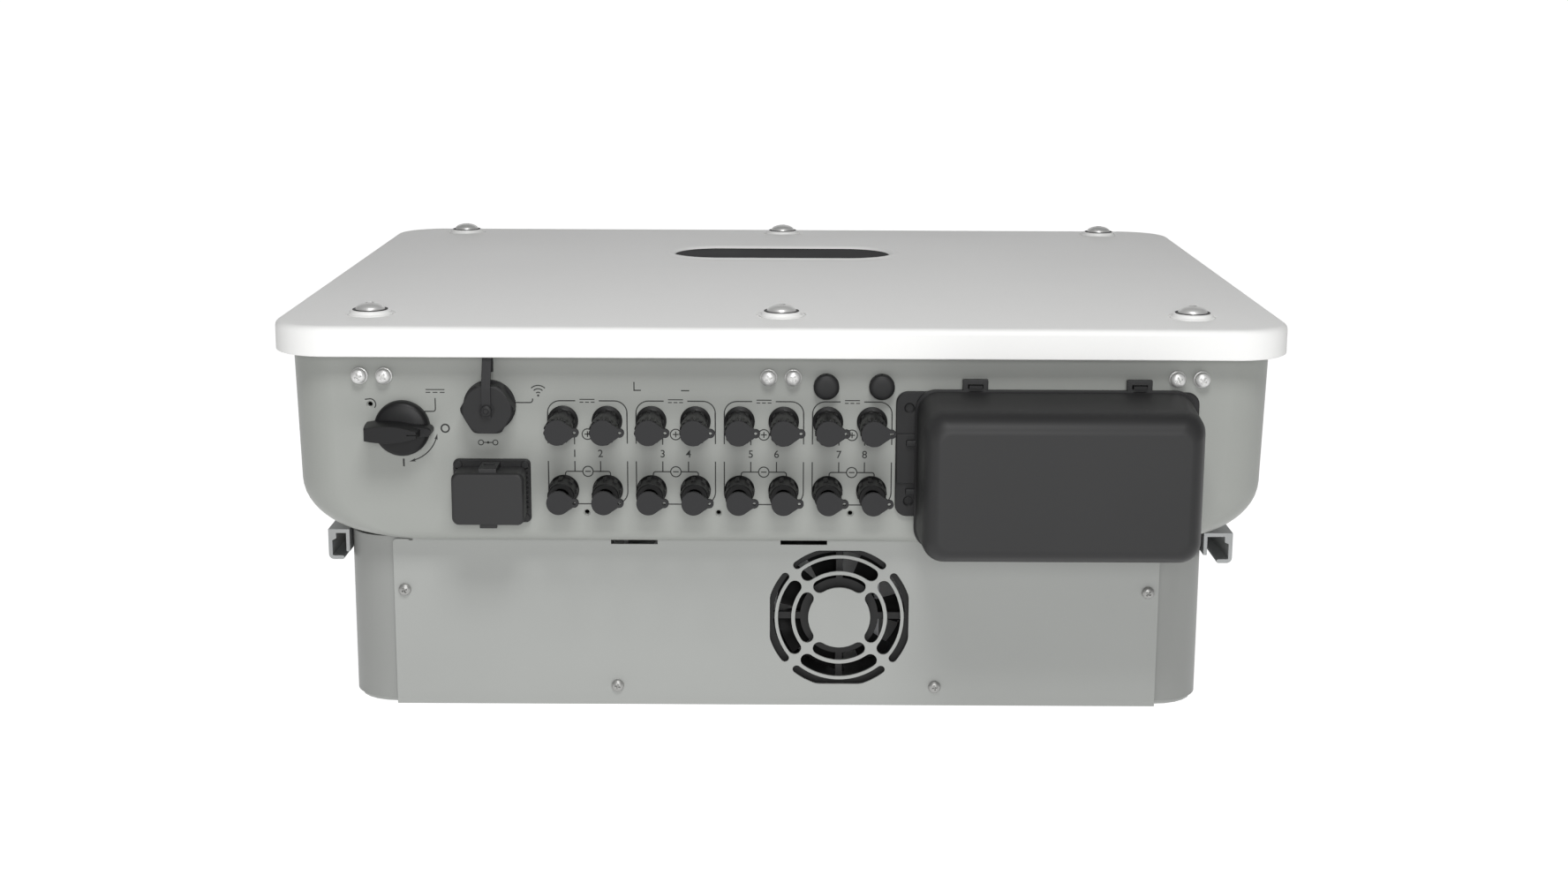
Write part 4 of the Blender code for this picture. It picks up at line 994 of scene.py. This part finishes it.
def make_com_port():
    place = on_wall(*COM)
    port = loft("com_flange", [level(-24.6 + trim, 24.6 - trim, -20.6 + trim, 20.6 - trim, 3.3, height)
                               for trim, height in ((0.0, GAP), (0.0, 2.8), (0.5, 3.3))], place)
    join(port, box("body", (-20.3, 20.3), (-14.3, 14.3), (2.0, 22.0), place),
         box("tail", (-15.0, 15.0), (-10.0, 10.0), (-18.0, 2.0), place))
    cut(port, box("socket", (-16.0, 16.0), (-10.0, 10.0), (8.0, 24.0), place))
    ribs = []
    for i in range(9):
        z = -13.0 + i * 3.2
        for sign in (-1, 1):
            outline = [(sign * 20.6, z), (sign * 23.4, z + 1.4), (sign * 23.4, z + 2.5), (sign * 20.6, z + 1.3)]
            ribs.append(prism("rib", [outline], 3.0, 5.2, place))
    for sx in (-21.2, 21.2):
        for sz in (-17.2, 17.2):
            ribs.append(turned("boss", [(2.6, 3.0), (2.6, 3.9), (2.2, 4.3)], on_wall(COM[0] + sx, COM[1] + sz), 24))
    stand_in(soften(bundle("com_socket", [port, *ribs]), 0.2), PLASTIC, "com_port")
    rings = [level(-22.0, 22.0, -16.1, 16.1, 3.5, 5.5), level(-22.2, 22.2, -16.3, 16.3, 3.7, 5.9),
             level(-22.85, 22.85, -16.9, 16.9, 4.5, 24.2), level(-22.75, 22.75, -16.8, 16.8, 4.5, 25.4),
             level(-22.3, 22.3, -16.4, 16.4, 4.3, 26.5), level(-21.6, 21.6, -15.7, 15.7, 3.9, 27.1),
             level(-20.9, 20.9, -15.0, 15.0, 3.5, 27.2)]
    cap = loft("com_cover", rings, place)
    hollow = box("hollow", (-20.7, 20.7), (-14.7, 14.7), (4.0, 24.6), place)
    latch = box("latch", (-5.8, 5.8), (15.0, 19.6), (4.5, 25.2), place, 0.5)
    tab = box("tab", (-5.5, 5.5), (-19.0, -15.0), (22.8, 25.8), place, 0.5)
    join(cap, latch, tab)
    cut(cap, hollow, box("latch_window", (-3.4, 3.4), (17.4, 21.0), (9.0, 15.0), place))
    stand_in(soften(cap, 0.25), COVER_PLASTIC, "com_cap", angle=30)


AC_LOOPS = (122.5, 226.0)


def make_ac_connector():
    place = on_wall()
    x0, x1 = AC_BASE[0]
    flange = loft("ac_flange", [level(x0 + trim, x1 - trim, 134.0 + trim, 215.0 - trim, 7.5, height)
                                for trim, height in ((0.0, GAP), (0.0, 2.8), (0.5, 3.3))], place)
    join(flange, box("walls", (93.0, 253.0), (128.0, 208.0), (1.0, 30.0), place),
         box("pad", (x0 + 0.6, 95.0), (156.0, 188.0), (2.0, 5.0), place, 0.5),
         box("strut_low", (x0 + 6.5, 95.0), (148.5, 152.5), (2.0, 6.0), place, 0.8),
         box("strut_high", (x0 + 6.5, 95.0), (180.5, 184.5), (2.0, 8.0), place, 0.8))
    cut(flange, box("pocket", (96.0, 250.0), (131.0, 205.0), (4.5, 32.0), place),
        bundle("holes", [turned("hole", [(2.6, 0.9), (2.6, 2.2), (3.4, 3.0), (3.6, 5.0)], on_wall(81.5, z), 24)
                         for z in (144.0, 204.5)]))
    join(flange, box("terminals", (107.0, 239.0), (148.0, 180.0), (4.0, 24.0), place))
    cut(flange, bundle("slots", [box("slot", (113 + 27 * i, 133 + 27 * i), (140, 172), (10.0, 26.0), place)
                                 for i in range(5)]))
    for x in AC_LOOPS:
        join(flange, box("root", (x - 6.5, x + 6.5), (210.0, 221.0), (0.7, 2.9), place),
             box("tongue", (x - 4.2, x + 4.2), (218.6, 220.4), (0.9, 11.0), place))
    stand_in(soften(flange, 0.25), PLASTIC, "ac_base", angle=30)
    rings = [level(85.3, 261.7, 114.3, 216.7, 13.0, 4.2), level(85.0, 262.0, 114.0, 217.0, 13.0, 4.8),
             level(85.0, 262.0, 114.0, 217.0, 13.0, 8.0), level(85.9, 261.1, 114.9, 216.1, 12.6, 8.9),
             level(86.2, 260.8, 115.4, 215.8, 13.0, 9.6)]
    for share in (0.25, 0.5, 0.75, 1.0):
        rings.append(level(86.2 + 0.9 * share, 260.8 - 2.0 * share, 115.4 + 4.0 * share, 215.8 - 1.6 * share,
                           13.0, 9.6 + 47.0 * share))
    for step in range(1, 11):
        turn = math.radians(9 * step)
        inset = 12.6 * (1 - math.cos(turn))
        rings.append(level(87.1 + inset * 0.8, 258.8 - inset * 0.85, 119.4 + inset * 0.85, 214.2 - inset,
                           max(13.0 - inset * 0.45, 5.0), 56.6 + 17.2 * math.sin(turn)))
    cover = loft("ac_shell", rings, place)
    hollow = [level(87.5, 259.5, 116.5, 214.5, 10.5, 3.0), level(90.0, 256.0, 122.5, 211.0, 10.5, 56.0),
              level(95.0, 250.5, 127.5, 205.5, 8.0, 69.0)]
    cut(cover, loft("hollow", hollow, place))
    for x in AC_LOOPS:
        join(cover, box("loop", (x - 8.0, x + 8.0), (214.6, 223.9), (4.9, 8.4), place, 0.6))
        cut(cover, box("loop_slot", (x - 4.9, x + 4.9), (218.1, 220.9), (3.0, 10.0), place))
    stand_in(cover, COVER_PLASTIC, "ac_cover", angle=35)


# ---------------------------------------------------------------- kept nodes

def dress_kept_nodes():
    looks = {"cover_gasket": RUBBER, "rear_plate": DUCT_PAINT, "heat_sink": FIN_METAL, "dc_switch_body": PLASTIC,
             "power_board": BOARD, "capacitor_bank": CAN_METAL, "choke_block": CAN_METAL}
    for node, look in looks.items():
        dress(node, look)


# ---------------------------------------------------------------- studio

CAMERA_AT = (0.002, -1.645, 0.4797)
CAMERA_PITCH = 12.06
CAMERA_ROLL = 0.26
CAMERA_LENS = 51.4
WHITE = (1.0, 1.0, 1.0, 1.0)
FLOOR_REACH = 60.0
GLOW = (0.97, 0.5)
GLOW_FROM = (0.68, 2.2)
GLOW_SPREAD = 0.4


def make_camera():
    data = bpy.data.cameras.new("camera")
    data.lens = CAMERA_LENS
    data.sensor_width = 36.0
    data.clip_start = 0.05
    pitch = Matrix.Rotation(math.radians(90 - CAMERA_PITCH), 4, "X")
    roll = Matrix.Rotation(math.radians(CAMERA_ROLL), 4, "Z")
    bpy.context.scene.camera = add_object("camera", data, Matrix.Translation(CAMERA_AT) @ pitch @ roll)


def area_light(name, at, target, width, height, power):
    data = bpy.data.lights.new(name, "AREA")
    data.shape = "RECTANGLE"
    data.size = width
    data.size_y = height
    data.energy = power
    aim = (Vector(target) - Vector(at)).to_track_quat("-Z", "Y").to_matrix().to_4x4()
    add_object(name, data, Matrix.Translation(at) @ aim)


def make_studio():
    """A pale sweep that is brightest along its middle, a wide light in front, one above and a dim surround."""
    floor_mat = bpy.data.materials.new("studio_floor")
    floor_mat.use_nodes = True
    nodes = floor_mat.node_tree.nodes
    links = floor_mat.node_tree.links
    shader = nodes["Principled BSDF"]
    fill(shader, {"Base Color": (0.25, 0.25, 0.25, 1.0), "Roughness": 1.0, "Specular IOR Level": 0.0,
                  "Emission Color": WHITE})
    where = nodes.new("ShaderNodeTexCoord")
    axes = nodes.new("ShaderNodeSeparateXYZ")
    aside = nodes.new("ShaderNodeMath")
    aside.operation = "ABSOLUTE"
    widening = nodes.new("ShaderNodeMath")
    widening.operation = "MULTIPLY_ADD"
    fill(widening, {1: -GLOW_SPREAD})
    fade = nodes.new("ShaderNodeMapRange")
    fade.interpolation_type = "SMOOTHSTEP"
    fill(fade, {"From Min": GLOW_FROM[0], "From Max": GLOW_FROM[1], "To Min": GLOW[0], "To Max": GLOW[1]})
    links.new(where.outputs["Object"], axes.inputs["Vector"])
    links.new(axes.outputs["X"], aside.inputs[0])
    links.new(axes.outputs["Y"], widening.inputs[0])
    links.new(aside.outputs["Value"], widening.inputs[2])
    links.new(widening.outputs["Value"], fade.inputs["Value"])
    links.new(fade.outputs["Result"], shader.inputs["Emission Strength"])
    profile = [(-FLOOR_REACH, 0.0), (4.0, 0.0), *arc((4.0, 1.0), 1.0, -90, 0, 16), (5.0, 4.0)]
    shape = bmesh.new()
    rows = [[shape.verts.new((x, y, z)) for x in (-FLOOR_REACH, FLOOR_REACH)] for y, z in profile]
    for a, b in zip(rows, rows[1:]):
        shape.faces.new((a[0], a[1], b[1], b[0]))
    floor = from_bmesh("studio_sweep", shape, Matrix())
    floor.data.shade_smooth()
    floor.data.materials.append(floor_mat)
    world = bpy.data.worlds.new("studio")
    bpy.context.scene.world = world
    world.use_nodes = True
    fill(world.node_tree.nodes["Background"], {"Color": WHITE, "Strength": 0.07})
    area_light("front", (0.1, -3.2, 0.85), (0.0, 0.0, 0.15), 0.8, 0.8, 40.0)
    area_light("above", (0.05, -1.25, 1.5), (0.0, 0.05, 0.2), 0.6, 0.5, 16.5)
    bpy.context.scene.view_settings.view_transform = "Standard"


# ---------------------------------------------------------------- assembly

for startup in [obj for obj in bpy.data.objects if obj.name in ("Cube", "Light", "Camera")]:
    bpy.data.objects.remove(startup)
make_camera()
make_studio()
make_front_cover()
make_cover_screws()
make_housing()
make_marks()
make_shrouds()
make_fan_plate()
make_outlet_grille()
make_fan()
make_rails()
make_sockets()
make_dust_caps()
make_case_screws()
make_vents()
make_switch()
make_dongle()
make_com_port()
make_ac_connector()
dress_kept_nodes()
